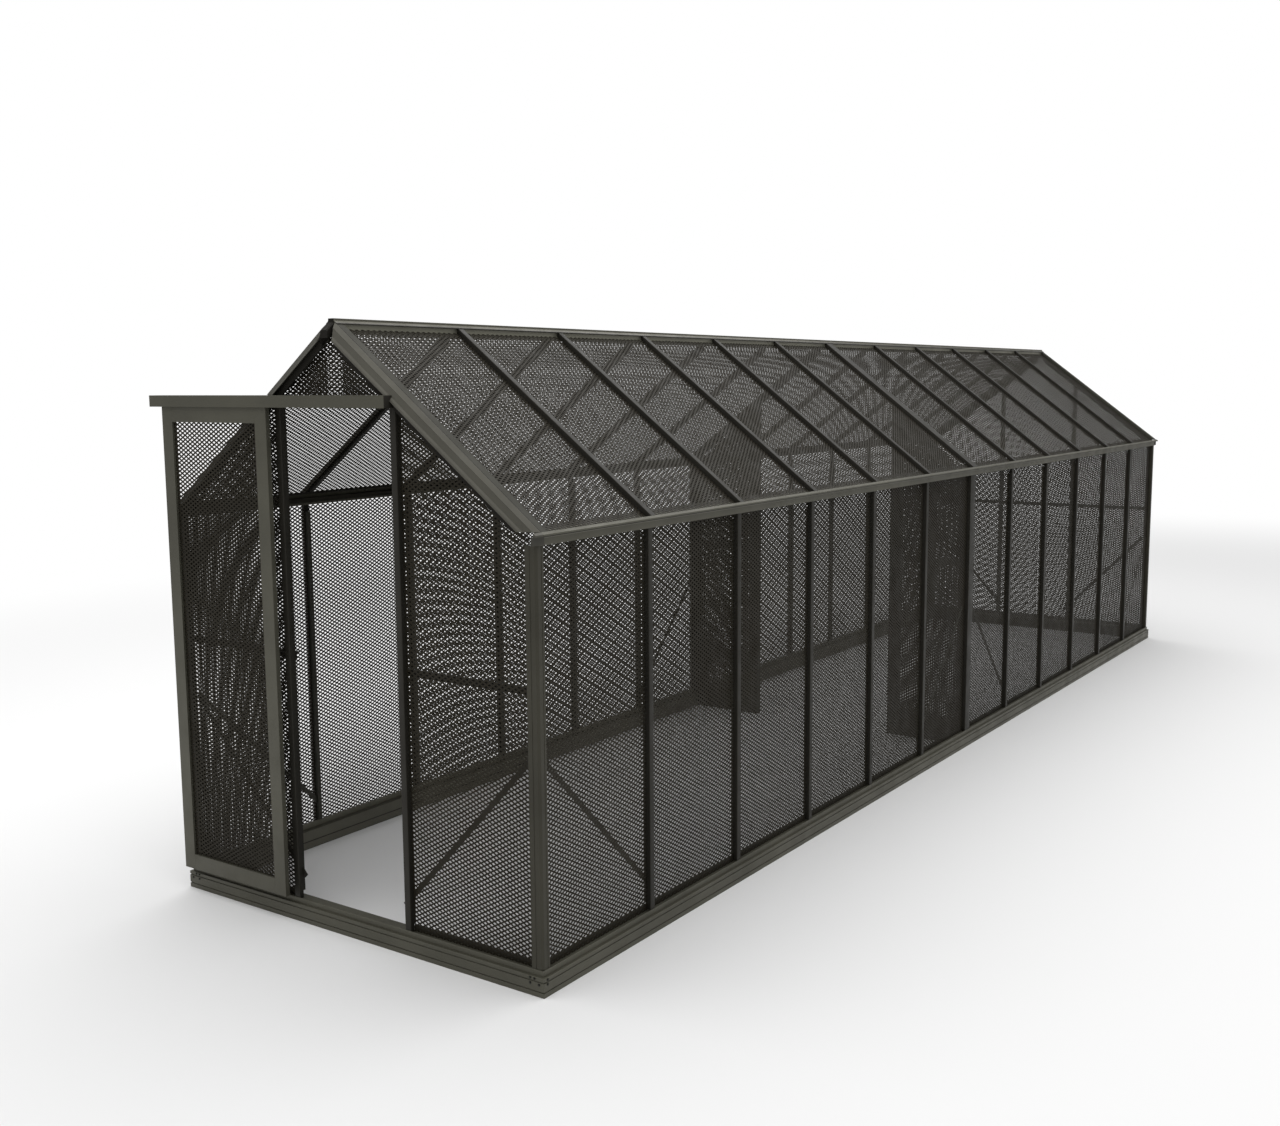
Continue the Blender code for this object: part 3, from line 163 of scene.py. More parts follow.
@dataclass(frozen=True)
class Coating:
    """A sprayed or moulded surface with a fine grain, faint cloudiness and small changes of gloss."""

    name: str
    slot: Slot
    colour: Colour
    roughness: float
    metallic: float = 0.0
    specular: float = 0.5
    gleam: Colour = (1.0, 0.97, 0.90)
    cloud_scale: float = 3.0
    cloud_depth: float = 0.16
    grain_scale: float = 1400.0
    grain_depth: float = 0.00006
    grain_strength: float = 0.35
    speckle: float = 0.12
    gloss_scale: float = 11.0
    gloss_spread: float = 0.08
    broad_band: Span = (0.3, 0.7)
    fine_band: Span = (0.35, 0.65)

    def colour_socket(self, sketch: NodeSketch) -> object:
        """The colour before its cloudiness, which a coat of two colours draws from nodes."""
        return self.colour

    @cache
    def material(self) -> Material:
        """Builds the material, once for each finish.

        Returns:
            The finish's material.
        """
        made = bpy.data.materials.new(self.name)
        made.use_nodes = True
        sketch = NodeSketch(made.node_tree)
        grain = sketch.noise(self.grain_scale, 2.0)
        speck = sketch.math("MULTIPLY", sketch.ramp(grain, self.fine_band, (-1.0, 1.0)), self.speckle)
        clouds, patches = sketch.noise(self.cloud_scale, 4.0), sketch.noise(self.gloss_scale, 3.0)
        shade = sketch.math("ADD", sketch.ramp(clouds, self.broad_band, around(1.0, self.cloud_depth)), speck)
        gloss = sketch.ramp(patches, self.broad_band, around(self.roughness, self.gloss_spread))
        values = {0: self.colour_socket(sketch), "Scale": shade}
        tint = sketch.node("ShaderNodeVectorMath", values, operation="SCALE")
        bump = sketch.node("ShaderNodeBump", {
            "Strength": self.grain_strength, "Distance": self.grain_depth, "Height": grain})
        sketch.feed(made.node_tree.nodes["Principled BSDF"], {
            "Base Color": tint.outputs[0], "Metallic": self.metallic, "Roughness": gloss,
            "Specular IOR Level": self.specular, "Specular Tint": (*self.gleam, 1.0),
            "Normal": bump.outputs["Normal"]})
        return made


@dataclass(frozen=True)
class StripedCoating(Coating):
    """A coat that takes another colour between some heights: darker on bars and braces, painted shade in
    seams, gaps and behind the mesh, painted highlights on rims, and painted light on faces that sit in shade.
    """

    stripes: tuple[tuple[float, float, Colour], ...] = ()

    def colour_socket(self, sketch: NodeSketch) -> object:
        """Mixes the colours by height.

        Args:
            sketch: the material's tree.

        Returns:
            The colour's socket.
        """
        height = sketch.node("ShaderNodeSeparateXYZ", {0: sketch.place()}).outputs["Z"]
        colour: object = (*self.colour, 1.0)
        for low, high, other in self.stripes:
            above = sketch.math("GREATER_THAN", height, low)
            inside = sketch.math("MULTIPLY", above, sketch.math("LESS_THAN", height, high))
            values = {"Factor": inside, 6: colour, 7: (*other, 1.0)}
            colour = sketch.node("ShaderNodeMix", values, data_type="RGBA").outputs[2]
        return colour


OLIVE = (0.069, 0.067, 0.050)
# NEAR_BLACK is the black of the caps' coat; in the stripes below it is painted shade in gaps, grooves and
# behind the mesh.
NEAR_BLACK = (0.013, 0.012, 0.009)
# A pale colour for painted highlights along rims that catch the light.
PAINTED_HIGHLIGHT = (0.125, 0.122, 0.098)
FRAME_COAT = Coating("frame_powder_coat", Slot.FRAME, OLIVE, 0.46, metallic=0.25)
# The rails' upstand under the wall mesh is painted near black as shade; the bars and braces above it take a
# darker olive.
RAIL_SHADE_COAT = StripedCoating("rail_powder_coat", Slot.FRAME, OLIVE, 0.46, metallic=0.25,
                           stripes=((0.0875, 0.1085, NEAR_BLACK), (0.1085, 1.6, (0.040, 0.039, 0.031))))
# A lighter copy of the frame's olive that paints the light inside the house onto the rail liners, with a
# near-black line painted as shade in their groove and a still lighter band painted as light on their upstand
# strip.
LINER_LIGHT_AND_SHADE_COAT = StripedCoating("liner_powder_coat", Slot.FRAME, (0.125, 0.121, 0.094), 0.50,
                            stripes=((0.0312, 0.0358, NEAR_BLACK), (0.0812, 0.11, (0.150, 0.146, 0.113))))
# On the eave beam: a painted highlight line, then near black painted as shade in the nick under the lip, and
# near black from just above the lip upward.
EAVE_HIGHLIGHT_AND_SHADE_COAT = StripedCoating("eave_powder_coat", Slot.FRAME, OLIVE, 0.46, metallic=0.25,
                           stripes=((1.5166, 1.5192, PAINTED_HIGHLIGHT), (1.5192, 1.5236, NEAR_BLACK),
                                    (1.5390, 2.3, NEAR_BLACK)))
# On the ridge: its legs under the net painted much lighter as light, near black painted as shade in the gap
# under the wings, and a painted highlight along the cap.
RIDGE_LIGHT_AND_SHADE_COAT = StripedCoating("ridge_powder_coat", Slot.FRAME, OLIVE, 0.36, metallic=0.4,
                            stripes=((2.1700, 2.2085, (0.170, 0.166, 0.130)), (2.2085, 2.2150, NEAR_BLACK),
                                     (2.2262, 2.3, PAINTED_HIGHLIGHT)))
# A darker copy of the frame's olive on the corner posts, which paints shade on them.
POST_SHADE_COAT = Coating("post_powder_coat", Slot.FRAME, (0.042, 0.040, 0.030), 0.50, metallic=0.2, specular=0.28)
# A darker, duller copy of the frame's olive on the gable rafters, which paints shade on them.
FLANGE_SHADE_COAT = Coating("flange_powder_coat", Slot.FRAME, (0.046, 0.045, 0.037), 0.62, specular=0.12)
COVER_COAT = Coating("cover_powder_coat", Slot.FRAME, (0.052, 0.050, 0.039), 0.50, metallic=0.25)
# Dark plates at the eave beam's ends; their darkness is painted shade under the eave's lip.
EAVE_CAP_SHADE_COAT = Coating("cap_plastic", Slot.DARK, (0.030, 0.029, 0.022), 0.50, specular=0.4)
SEAL_COAT = Coating("seal_rubber", Slot.DARK, (0.012, 0.011, 0.009), 0.68, specular=0.12)
DARK_COAT = Coating("dark_powder_coat", Slot.DARK, NEAR_BLACK, 0.52, specular=0.30)
SCREW_COAT = Coating("screw_coat", Slot.DARK, (0.014, 0.014, 0.012), 0.40, metallic=0.4, grain_depth=0.00003)
MESH_COAT = Coating("mesh_coat", Slot.MESH, (0.014, 0.012, 0.008), 0.60, specular=0.22,
                    gleam=(1.0, 0.92, 0.76), grain_scale=900.0)
BLACK_NYLON = Coating("black_nylon", Slot.NYLON, (0.012, 0.012, 0.012), 0.38, speckle=0.05,
                      grain_depth=0.00003)

COATS: dict[Slot, Coating] = {coat.slot: coat for coat in (FRAME_COAT, DARK_COAT, MESH_COAT, BLACK_NYLON)}


class PatternTree(NodeSketch):
    """A Geometry Nodes tree with named inputs and one output of geometry."""

    def __init__(self, name: str, sizes: tuple[str, ...], counts: tuple[str, ...] = ()) -> None:
        """Makes the tree and its inputs, a seed mesh and a material among them.

        Args:
            name: the tree's name.
            sizes: the names of its inputs for lengths.
            counts: the names of its inputs for whole numbers.
        """
        super().__init__(bpy.data.node_groups.new(name, "GeometryNodeTree"))
        kinds = {"Geometry": "Geometry", "Material": "Material"}
        kinds |= dict.fromkeys(sizes, "Float") | dict.fromkeys(counts, "Int")
        for label, kind in kinds.items():
            self.tree.interface.new_socket(label, in_out="INPUT", socket_type=f"NodeSocket{kind}")
        self.tree.interface.new_socket("Geometry", in_out="OUTPUT", socket_type="NodeSocketGeometry")
        self.given = self.node("NodeGroupInput").outputs

    def finish(self, geometry: NodeSocket) -> NodeTree:
        """Ends the tree with real geometry in one material.

        Args:
            geometry: the last socket of the pattern.

        Returns:
            The finished tree.
        """
        real = self.node("GeometryNodeRealizeInstances", {"Geometry": geometry})
        dressed = self.node("GeometryNodeSetMaterial", {"Geometry": real.outputs["Geometry"],
                                                        "Material": self.given["Material"]})
        self.node("NodeGroupOutput", {"Geometry": dressed.outputs["Geometry"]})
        return self.tree


def grown(tree: NodeTree, coat: Coating, inputs: dict[str, object], seed: Mesh | None = None) -> Mesh:
    """Runs a tree once and keeps the result as a plain mesh.

    Args:
        tree: the Geometry Nodes tree.
        coat: the finish.
        inputs: the value of each other named input.
        seed: the mesh that the tree starts from, if it needs one.

    Returns:
        The plain mesh.
    """
    start = seed or bpy.data.meshes.new("start")
    carrier = bpy.data.objects.new("carrier", start)
    bpy.context.scene.collection.objects.link(carrier)
    modifier = carrier.modifiers.new("pattern", "NODES")
    modifier.node_group = tree
    values = {"Material": coat.material(), **inputs}
    for item in tree.interface.items_tree:
        if item.item_type == "SOCKET" and item.in_out == "INPUT" and item.name in values:
            modifier[item.identifier] = values[item.name]
    bpy.context.view_layer.update()
    mesh = bpy.data.meshes.new_from_object(carrier.evaluated_get(bpy.context.evaluated_depsgraph_get()))
    bpy.data.objects.remove(carrier)
    bpy.data.meshes.remove(start)
    return mesh


def gathered(name: str, parts: list[Placed], coat: Coating, body: str = "house",
             smooth: float = 0.0) -> Object:
    """Joins placed meshes into one piece at the origin, in one finish, riding on one body.

    Args:
        name: the piece's name.
        parts: meshes and where each goes.
        coat: the finish.
        body: the body that it rides on.
        smooth: the angle in degrees below which faces are shaded as one, if any are.

    Returns:
        The piece.
    """
    shape = bmesh.new()
    for mesh, place in parts:
        copy = mesh.copy()
        copy.transform(place)
        shape.from_mesh(copy)
        bpy.data.meshes.remove(copy)
    bmesh.ops.recalc_face_normals(shape, faces=shape.faces)
    mesh = bpy.data.meshes.new(name)
    shape.to_mesh(mesh)
    shape.free()
    mesh.materials.clear()
    mesh.materials.append(coat.material())
    if smooth:
        mesh.shade_smooth()
        mesh.set_sharp_from_angle(angle=math.radians(smooth))
    piece = bpy.data.objects.new(name, mesh)
    bpy.context.scene.collection.objects.link(piece)
    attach(piece, body)
    LOG.info("%s: %d faces on %s", name, len(mesh.polygons), body)
    return piece


def solid(first: list[Vector], last: list[Vector]) -> Placed:
    """Joins two outlines, corner for corner, into one closed solid.

    Args:
        first: the outline at one end.
        last: the outline at the other end.

    Returns:
        The mesh, and the matrix that leaves it where it is.
    """
    count = len(first)
    faces = [tuple(range(count)), tuple(range(count, 2 * count))]
    faces += [(i, (i + 1) % count, count + (i + 1) % count, count + i) for i in range(count)]
    mesh = bpy.data.meshes.new("solid")
    mesh.from_pydata([*first, *last], [], faces)
    return mesh, Matrix.Identity(4)


@dataclass(frozen=True)
class HouseSizes:
    """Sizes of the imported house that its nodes' boxes do not show by themselves."""

    shift_x: float = 0.015
    shift_y: float = -3.735
    length: float = 7.512
    half_width: float = 0.92
    eave_height: float = 1.530
    ridge_height: float = 2.228
    end_offset: float = 0.036
    bays_per_module: int = 6
    stem_half: float = 0.0106
    sheet: float = 0.0015
    bar_head: float = 0.017
    seat_gap: float = 0.0003
    gable_bar_at: float = 0.287

    @property
    def pitch(self) -> float:
        """The roof's angle from level."""
        return math.atan2(self.ridge_height - self.eave_height, self.half_width)

    @property
    def middle(self) -> float:
        """Where the two modules meet, from the front edge."""
        return self.length / 2

    @property
    def bay(self) -> float:
        """The spacing of the bars."""
        return (self.middle - self.end_offset) / self.bays_per_module

    def spot(self, x: float, y: float, z: float) -> Vector:
        """A point in the frame, from its distances to the house's middle, front edge and floor."""
        return Vector((self.shift_x + x, self.shift_y + y, z))

    def up_slope(self, hand: Hand) -> Vector:
        """The direction up one roof slope."""
        return Vector((-hand.value * math.cos(self.pitch), 0, math.sin(self.pitch)))

    def on_slope(self, hand: Hand, up: float, out: float, y: float = 0.0) -> Vector:
        """A point by a roof slope, from its distances up it and out of it, past the eave's edge."""
        run, rise = math.cos(self.pitch), math.sin(self.pitch)
        return self.spot(hand.value * (self.half_width - up * run + out * rise), y,
                         self.eave_height + up * rise + out * run)

    def roof_at(self, x: float, below: float) -> float:
        """The height so far below the roof's surface, at a distance from the middle."""
        surface = self.eave_height + (self.half_width - abs(x)) * math.tan(self.pitch)
        return surface - below / math.cos(self.pitch)

    def stem_edges(self, module: int) -> list[Span]:
        """The start and end on Y of each stem's slot in the sheet of the front module, 0, or the rear, 1."""
        first = module * self.bays_per_module + 1
        return [around(self.shift_y + self.end_offset + number * self.bay, self.stem_half)
                for number in range(first, first + self.bays_per_module - 1)]


@dataclass(frozen=True)
class Panel:
    """A flat field of mesh: a corner, two directions, and a top edge that may slope."""

    corner: Vector
    along: Vector
    up: Vector
    width: float
    height_start: float
    height_end: float


@dataclass(frozen=True)
class DiamondMesh:
    """Flattened expanded metal: two families of slanting strands that meet in diamonds.

    The last fields are the length of the shortest strand that is kept, the share of its width that a strand
    stays short of the panel's edges, and a length beyond any panel.
    """

    pitch_along: float = 0.0280
    pitch_up: float = 0.0161
    strand: float = 0.0060
    thick: float = 0.0010
    first_depth: float = 0.0007
    second_depth: float = 0.0009
    shortest: float = 0.004
    end_share: float = 0.6
    far: float = 1000.0

    @cache
    def tree(self) -> NodeTree:
        """Builds the tree that fills a panel with strands cut to its edges, once.

        Returns:
            The tree, with the panel's and the strands' sizes as inputs.
        """
        maker = PatternTree("diamond_mesh", (
            "Width", "Height Start", "Height End", "Pitch Along", "Pitch Up", "Strand", "Thickness",
            "First Depth", "Second Depth"))
        joined = maker.node("GeometryNodeJoinGeometry")
        for lean, depth in ((1.0, "First Depth"), (-1.0, "Second Depth")):
            maker.feed(joined, {"Geometry": self._family(maker, lean, maker.given[depth])})
        return maker.finish(joined.outputs["Geometry"])

    def _family(self, maker: PatternTree, lean: float, depth: NodeSocket) -> NodeSocket:
        """Adds one family of parallel strands: each line is cut where it leaves the panel.

        Args:
            maker: the tree.
            lean: +1 where the strands rise along the panel, -1 where they fall.
            depth: how far inside the panel's face the strands' middle lies.

        Returns:
            The family's geometry.
        """
        calc, given = maker.math, maker.given
        width, start, end = given["Width"], given["Height Start"], given["Height End"]
        pitch_up, strand = given["Pitch Up"], given["Strand"]
        slope = calc("DIVIDE", pitch_up, given["Pitch Along"])
        hidden = calc("CEIL", calc("DIVIDE", calc("MULTIPLY", slope, width), pitch_up))
        shown = calc("CEIL", calc("DIVIDE", calc("MAXIMUM", start, end), pitch_up))
        count = calc("ADD", calc("ADD", shown, hidden), 1.0)
        points = maker.node("GeometryNodeMeshLine", {"Count": count}, mode="OFFSET")
        number = maker.node("GeometryNodeInputIndex").outputs[0]
        if lean > 0:
            number = calc("SUBTRACT", number, hidden)
        meets = calc("MULTIPLY", number, pitch_up)
        at_bottom = calc("DIVIDE", calc("MULTIPLY", meets, -lean), slope)
        low: object = calc("MAXIMUM", 0.0, at_bottom) if lean > 0 else 0.0
        high: object = width if lean > 0 else calc("MINIMUM", width, at_bottom)
        top_slope = calc("DIVIDE", calc("SUBTRACT", end, start), width)
        closing = calc("SUBTRACT", calc("MULTIPLY", slope, lean), top_slope)
        at_top = calc("DIVIDE", calc("SUBTRACT", start, meets), closing)
        far = calc("MULTIPLY", calc("GREATER_THAN", closing, 0.0), self.far)
        high = calc("MINIMUM", high, calc("ADD", at_top, calc("SUBTRACT", self.far, far)))
        low = calc("MAXIMUM", low, calc("SUBTRACT", at_top, far))
        middle = calc("MULTIPLY", calc("ADD", low, high), 0.5)
        height = calc("ADD", meets, calc("MULTIPLY", calc("MULTIPLY", slope, lean), middle))
        moved = maker.node("GeometryNodeSetPosition", {"Geometry": points.outputs["Mesh"],
                                                       "Position": maker.vector(middle, depth, height)})
        angle = calc("ARCTANGENT", slope)
        whole = calc("DIVIDE", calc("SUBTRACT", high, low), calc("COSINE", angle))
        length = calc("SUBTRACT", whole, calc("MULTIPLY", strand, self.end_share))
        placed = maker.node("GeometryNodeInstanceOnPoints", {
            "Points": moved.outputs["Geometry"], "Selection": calc("GREATER_THAN", length, self.shortest),
            "Instance": maker.node("GeometryNodeMeshCube").outputs["Mesh"],
            "Rotation": maker.vector(0.0, calc("MULTIPLY", angle, -lean), 0.0),
            "Scale": maker.vector(length, given["Thickness"], strand)})
        return placed.outputs["Instances"]

    def fill(self, panel: Panel) -> Placed:
        """Fills one panel.

        Args:
            panel: the field to fill.

        Returns:
            The panel's mesh in its own directions, and where it goes.
        """
        values = {"Width": panel.width, "Height Start": panel.height_start, "Height End": panel.height_end,
                  "Pitch Along": self.pitch_along, "Pitch Up": self.pitch_up, "Strand": self.strand,
                  "Thickness": self.thick, "First Depth": self.first_depth, "Second Depth": self.second_depth}
        return grown(self.tree(), MESH_COAT, values), facing(panel.corner, panel.along, panel.up)

    def stand_in(self, node: str, panels: list[Panel], body: str = "house") -> None:
        """Fills the panels and shows their net in place of a node."""
        net = gathered(f"{node}_net", [self.fill(panel) for panel in panels], MESH_COAT, body)
        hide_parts(node)


@dataclass(frozen=True)
class BarCap:
    """The black cap over a glazing bar's head, with rounded outer edges."""

    width: float = 0.026
    depth: float = 0.017
    cover: float = 0.0008
    radius: float = 0.0026
    steps: int = 5

    @staticmethod
    @cache
    def tree() -> NodeTree:
        """Builds the tree that sweeps an outline along a bar and repeats it at each bar, once.

        Returns:
            The tree, with the bars' count, spacing and length as inputs.
        """
        maker = PatternTree("bar_caps", ("Spacing", "Length"), ("Count",))
        given = maker.given
        outline = maker.node("GeometryNodeMeshToCurve", {"Mesh": given["Geometry"]})
        path = maker.node("GeometryNodeCurvePrimitiveLine", {"End": maker.vector(0.0, 0.0, given["Length"])})
        swept = maker.node("GeometryNodeCurveToMesh", {
            "Curve": path.outputs["Curve"], "Profile Curve": outline.outputs["Curve"], "Fill Caps": True})
        bars = maker.node("GeometryNodeMeshLine", {
            "Count": given["Count"], "Offset": maker.vector(given["Spacing"], 0.0, 0.0)}, mode="OFFSET")
        placed = maker.node("GeometryNodeInstanceOnPoints", {"Points": bars.outputs["Mesh"],
                                                             "Instance": swept.outputs["Mesh"]})
        return maker.finish(placed.outputs["Instances"])

    def outline(self) -> Mesh:
        """Draws the cap's outline across the bar: its middle at X = 0 and the head's face at Y = 0.

        Returns:
            A mesh of the outline's edges, in which Y points into the house.
        """
        half, face, radius = self.width / 2 + self.cover, -self.cover, self.radius
        points = [(-half, self.depth)]
        for side, start in ((-1, 180), (1, 270)):
            for step in range(self.steps + 1):
                angle = math.radians(start + 90 * step / self.steps)
                points.append((side * (half - radius) + radius * math.cos(angle),
                               face + radius + radius * math.sin(angle)))
        points.append((half, self.depth))
        mesh = bpy.data.meshes.new("outline")
        count = len(points)
        mesh.from_pydata([(x, y, 0) for x, y in points], [(i, (i + 1) % count) for i in range(count)], [])
        return mesh

    def row(self, foot: Vector, along: Vector, up: Vector, length: float, count: int = 1,
            spacing: float = 0.0) -> Placed:
        """Makes the caps of a row of bars.

        Args:
            foot: the middle of the first bar's face, at its lower end.
            along: the direction from one bar to the next.
            up: the direction along a bar.
            length: how long each cap is.
            count: how many bars there are.
            spacing: from one bar to the next.

        Returns:
            The row's mesh in its own directions, and where it goes.
        """
        values = {"Count": count, "Spacing": spacing, "Length": length}
        return grown(self.tree(), DARK_COAT, values, self.outline()), facing(foot, along, up)


@dataclass(frozen=True)
class BarCaps:
    """The caps of every wall bar, roof bar, double bar, door post and back gable bar."""

    sizes: HouseSizes
    cap: BarCap = BarCap()
    wide_cap: BarCap = BarCap(width=0.066)
    wall_inset: float = 0.020
    setback: float = 0.004
    wall_foot: float = 0.0875
    wall_top: float = 1.4930
    eave_edge: float = 0.0125
    wing_edge: float = 0.0265
    below_roof: float = 0.0508
    smooth: float = 32.0

    def build(self) -> None:
        """Makes the caps, in one piece for the walls, one for the roof and one for the gables."""
        sizes, walls, slopes = self.sizes, [], []
        rise = self.wall_top - self.wall_foot
        run = (sizes.half_width - self.wing_edge) / math.cos(sizes.pitch) - self.eave_edge
        wall_face = sizes.half_width - self.wall_inset - self.setback
        for hand in Hand:
            along = Vector((0, hand.value, 0))
            face = sizes.spot(hand.value * wall_face, 0, self.wall_foot)
            eave, up_slope = sizes.on_slope(hand, self.eave_edge, -sizes.seat_gap), sizes.up_slope(hand)
            for rows, foot, up, length in ((walls, face, UP, rise), (slopes, eave, up_slope, run)):
                for module in (0, 1):
                    marks = [sum(pair) / 2 for pair in sizes.stem_edges(module)]
                    foot.y = marks[0] if hand is Hand.RIGHT else marks[-1]
                    rows.append(self.cap.row(foot, along, up, length, len(marks), sizes.bay))
                foot.y = sizes.shift_y + sizes.middle
                rows.append(self.wide_cap.row(foot, along, up, length))
        for part, rows in (("wall", walls), ("roof", slopes), ("gable", self.gable_rows())):
            gathered(f"{part}_bar_caps", rows, DARK_COAT, smooth=self.smooth)

    def gable_rows(self) -> list[Placed]:
        """Makes the caps of the door posts and of the back gable's bars.

        Returns:
            The front row and the back row.
        """
        sizes, rows = self.sizes, []
        corner = sizes.gable_bar_at + self.cap.width / 2 + self.cap.cover
        length = sizes.roof_at(corner, self.below_roof) - self.wall_foot
        for node, turn in (("door_post_left", 1), ("back_bar_right", -1)):
            low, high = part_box(node)
            foot = sizes.spot(-turn * sizes.gable_bar_at, 0, self.wall_foot)
            foot.y = low.y if turn > 0 else high.y
            rows.append(self.cap.row(foot, Vector((turn, 0, 0)), UP, length, 2, 2 * sizes.gable_bar_at))
        return rows


@dataclass(frozen=True)
class LongWalls:
    """The mesh of both long walls: one field in each bay, between the bars' stems."""

    sizes: HouseSizes
    weave: DiamondMesh
    sheets: str = "wall_mesh"

    def lower_edge(self, hand: Hand, low: Vector, high: Vector) -> tuple[Vector, Vector, float]:
        """Finds a point on a sheet's lower edge, the way up the sheet and its height."""
        x = high.x if hand is Hand.RIGHT else low.x
        return Vector((x, 0, low.z)), UP, high.z - low.z

    def panels(self, node: str, hand: Hand, module: int) -> list[Panel]:
        """Lists one sheet's fields.

        Args:
            node: the sheet's node.
            hand: the side of the house.
            module: 0 for the front module, 1 for the rear one.

        Returns:
            The fields, each drawn so that its depth points into the house.
        """
        low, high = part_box(node)
        foot, up, height = self.lower_edge(hand, low, high)
        marks = [low.y] + [edge for pair in self.sizes.stem_edges(module) for edge in pair] + [high.y]
        fields = []
        for start, end in zip(marks[::2], marks[1::2]):
            corner = Vector((foot.x, start if hand is Hand.RIGHT else end, foot.z))
            fields.append(Panel(corner, Vector((0, hand.value, 0)), up, end - start, height, height))
        return fields

    def build(self) -> None:
        """Makes the four sheets."""
        for hand in Hand:
            for module, place in enumerate(("front", "rear")):
                node = f"{self.sheets}_{hand.label}_{place}"
                self.weave.stand_in(node, self.panels(node, hand, module))


@dataclass(frozen=True)
class RoofSlopes(LongWalls):
    """The mesh of both roof slopes: one field in each bay, between the roof bars' stems."""

    sheets: str = "roof_mesh"
    eave_edge: float = 0.0123
    ridge_edge: float = 0.0173

    def lower_edge(self, hand: Hand, low: Vector, high: Vector) -> tuple[Vector, Vector, float]:
        """Finds a point on a sheet's lower edge, the way up the sheet and its height.

        Args:
            hand: the side of the house.
            low: the lower corner of the sheet's box, which a slope does not need.
            high: the upper corner of the sheet's box, which a slope does not need.

        Returns:
            The point, the direction and the height.
        """
        sizes, out = self.sizes, -self.sizes.bar_head - self.sizes.seat_gap
        across = sizes.half_width - self.ridge_edge + (out - sizes.sheet) * math.sin(sizes.pitch)
        height = across / math.cos(sizes.pitch) - self.eave_edge
        return sizes.on_slope(hand, self.eave_edge, out), sizes.up_slope(hand), height


@dataclass(frozen=True)
class GableFace:
    """The outer face of a sheet in a gable: at the front or back, at a Y, with a lower edge at a height."""

    back: bool
    y: float
    bottom: float


@dataclass(frozen=True)
class Gables:
    """The mesh of the front, beside and over the doorway, and of the whole back gable."""

    sizes: HouseSizes
    weave: DiamondMesh
    below_roof: float = 0.0208
    notch_at: float = 0.8588
    notch_height: float = 1.4932
    peak_height: float = 2.1757

    def top_at(self, x: float) -> float:
        """Height of the sheet's sloping edge at a distance from the middle."""
        return min(self.sizes.roof_at(x, self.below_roof), self.peak_height)

    def field(self, face: GableFace, left: float, right: float, level: bool = False) -> Panel:
        """Makes one field between two upright lines.

        Args:
            face: the sheet's outer face.
            left: the line nearer to the left wall, from the middle of the house.
            right: the line nearer to the right wall.
            level: whether the upper edge is the level edge under the eave.

        Returns:
            The field.
        """
        turn, start = (-1, right) if face.back else (1, left)
        tops = [(self.notch_height if level else self.top_at(x)) - face.bottom for x in (left, right)]
        corner = Vector((self.sizes.shift_x + start, face.y, face.bottom))
        return Panel(corner, Vector((turn, 0, 0)), UP, right - left, *tops[::turn])

    def between_bars(self, face: GableFace) -> list[Panel]:
        """Makes the three fields between the gable's bars, of which one is level under the ridge.

        Args:
            face: the sheet's outer face.

        Returns:
            The fields.
        """
        sizes = self.sizes
        drop = (self.peak_height - sizes.eave_height) + self.below_roof / math.cos(sizes.pitch)
        peak = sizes.half_width - drop / math.tan(sizes.pitch)
        bar = sizes.gable_bar_at - sizes.stem_half
        marks = (-bar, -peak, peak, bar)
        return [self.field(face, left, right) for left, right in zip(marks, marks[1:])]

    def beside_bar(self, face: GableFace, side: int, outer: float) -> list[Panel]:
        """Makes the two fields between a gable bar and a corner: under the slope, and under the eave.

        Args:
            face: the sheet's outer face.
            side: +1 on the right, -1 on the left.
            outer: the sheet's outer edge, from the middle of the house.

        Returns:
            The fields.
        """
        bar = self.sizes.gable_bar_at + self.sizes.stem_half
        spans = ((bar, self.notch_at, False), (self.notch_at, outer, True))
        return [self.field(face, *sorted((side * near, side * away)), level) for near, away, level in spans]

    def build(self) -> None:
        """Makes the sheets of both gables."""
        for hand in Hand:
            node = f"front_mesh_{hand.label}"
            low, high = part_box(node)
            outer = abs((high.x if hand is Hand.RIGHT else low.x) - self.sizes.shift_x)
            self.weave.stand_in(node, self.beside_bar(GableFace(False, low.y, low.z), hand.value, outer))
        low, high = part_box("front_mesh_top")
        self.weave.stand_in("front_mesh_top", self.between_bars(GableFace(False, low.y, low.z)))
        low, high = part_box("back_mesh")
        face = GableFace(True, high.y, low.z)
        fields = self.between_bars(face)
        for side in (-1, 1):
            fields += self.beside_bar(face, side, high.x - self.sizes.shift_x)
        self.weave.stand_in("back_mesh", fields)


@dataclass(frozen=True)
class Partition:
    """The fixed screen half way along: a net on both faces of each leaf's frame."""

    sizes: HouseSizes
    weave: DiamondMesh
    thick: float = 0.040
    below_eave: float = 0.0368

    def build(self) -> None:
        """Makes both leaves' nets, the front one in place of its node."""
        sizes = self.sizes
        for hand in Hand:
            node = f"partition_mesh_{hand.label}"
            low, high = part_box(node)
            width = high.x - low.x
            tops = (high.z - low.z, sizes.eave_height - self.below_eave - low.z)[::hand.value]
            rear_y = high.y + self.thick + 2 * sizes.seat_gap + sizes.sheet
            rear = Panel(Vector((high.x, rear_y, low.z)), Vector((-1, 0, 0)), UP, width, *reversed(tops))
            self.weave.stand_in(node, [Panel(Vector(low), Vector((1, 0, 0)), UP, width, *tops)])
            gathered(f"{node}_rear_net", [self.weave.fill(rear)], MESH_COAT)


@dataclass(frozen=True)
class DoorLeaf:
    """The sliding leaf: a fine net held in the slots of its frame."""

    weave: DiamondMesh

    def build(self) -> None:
        """Makes the leaf's net in place of the coarse one."""
        low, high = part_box("door_mesh")
        height = high.z - low.z
        field = Panel(Vector(low), Vector((1, 0, 0)), UP, high.x - low.x, height, height)
        self.weave.stand_in("door_mesh", [field], "door")


@dataclass(frozen=True)
class Rafter:
    """One of the four gable rafters."""

    hand: Hand
    back: bool


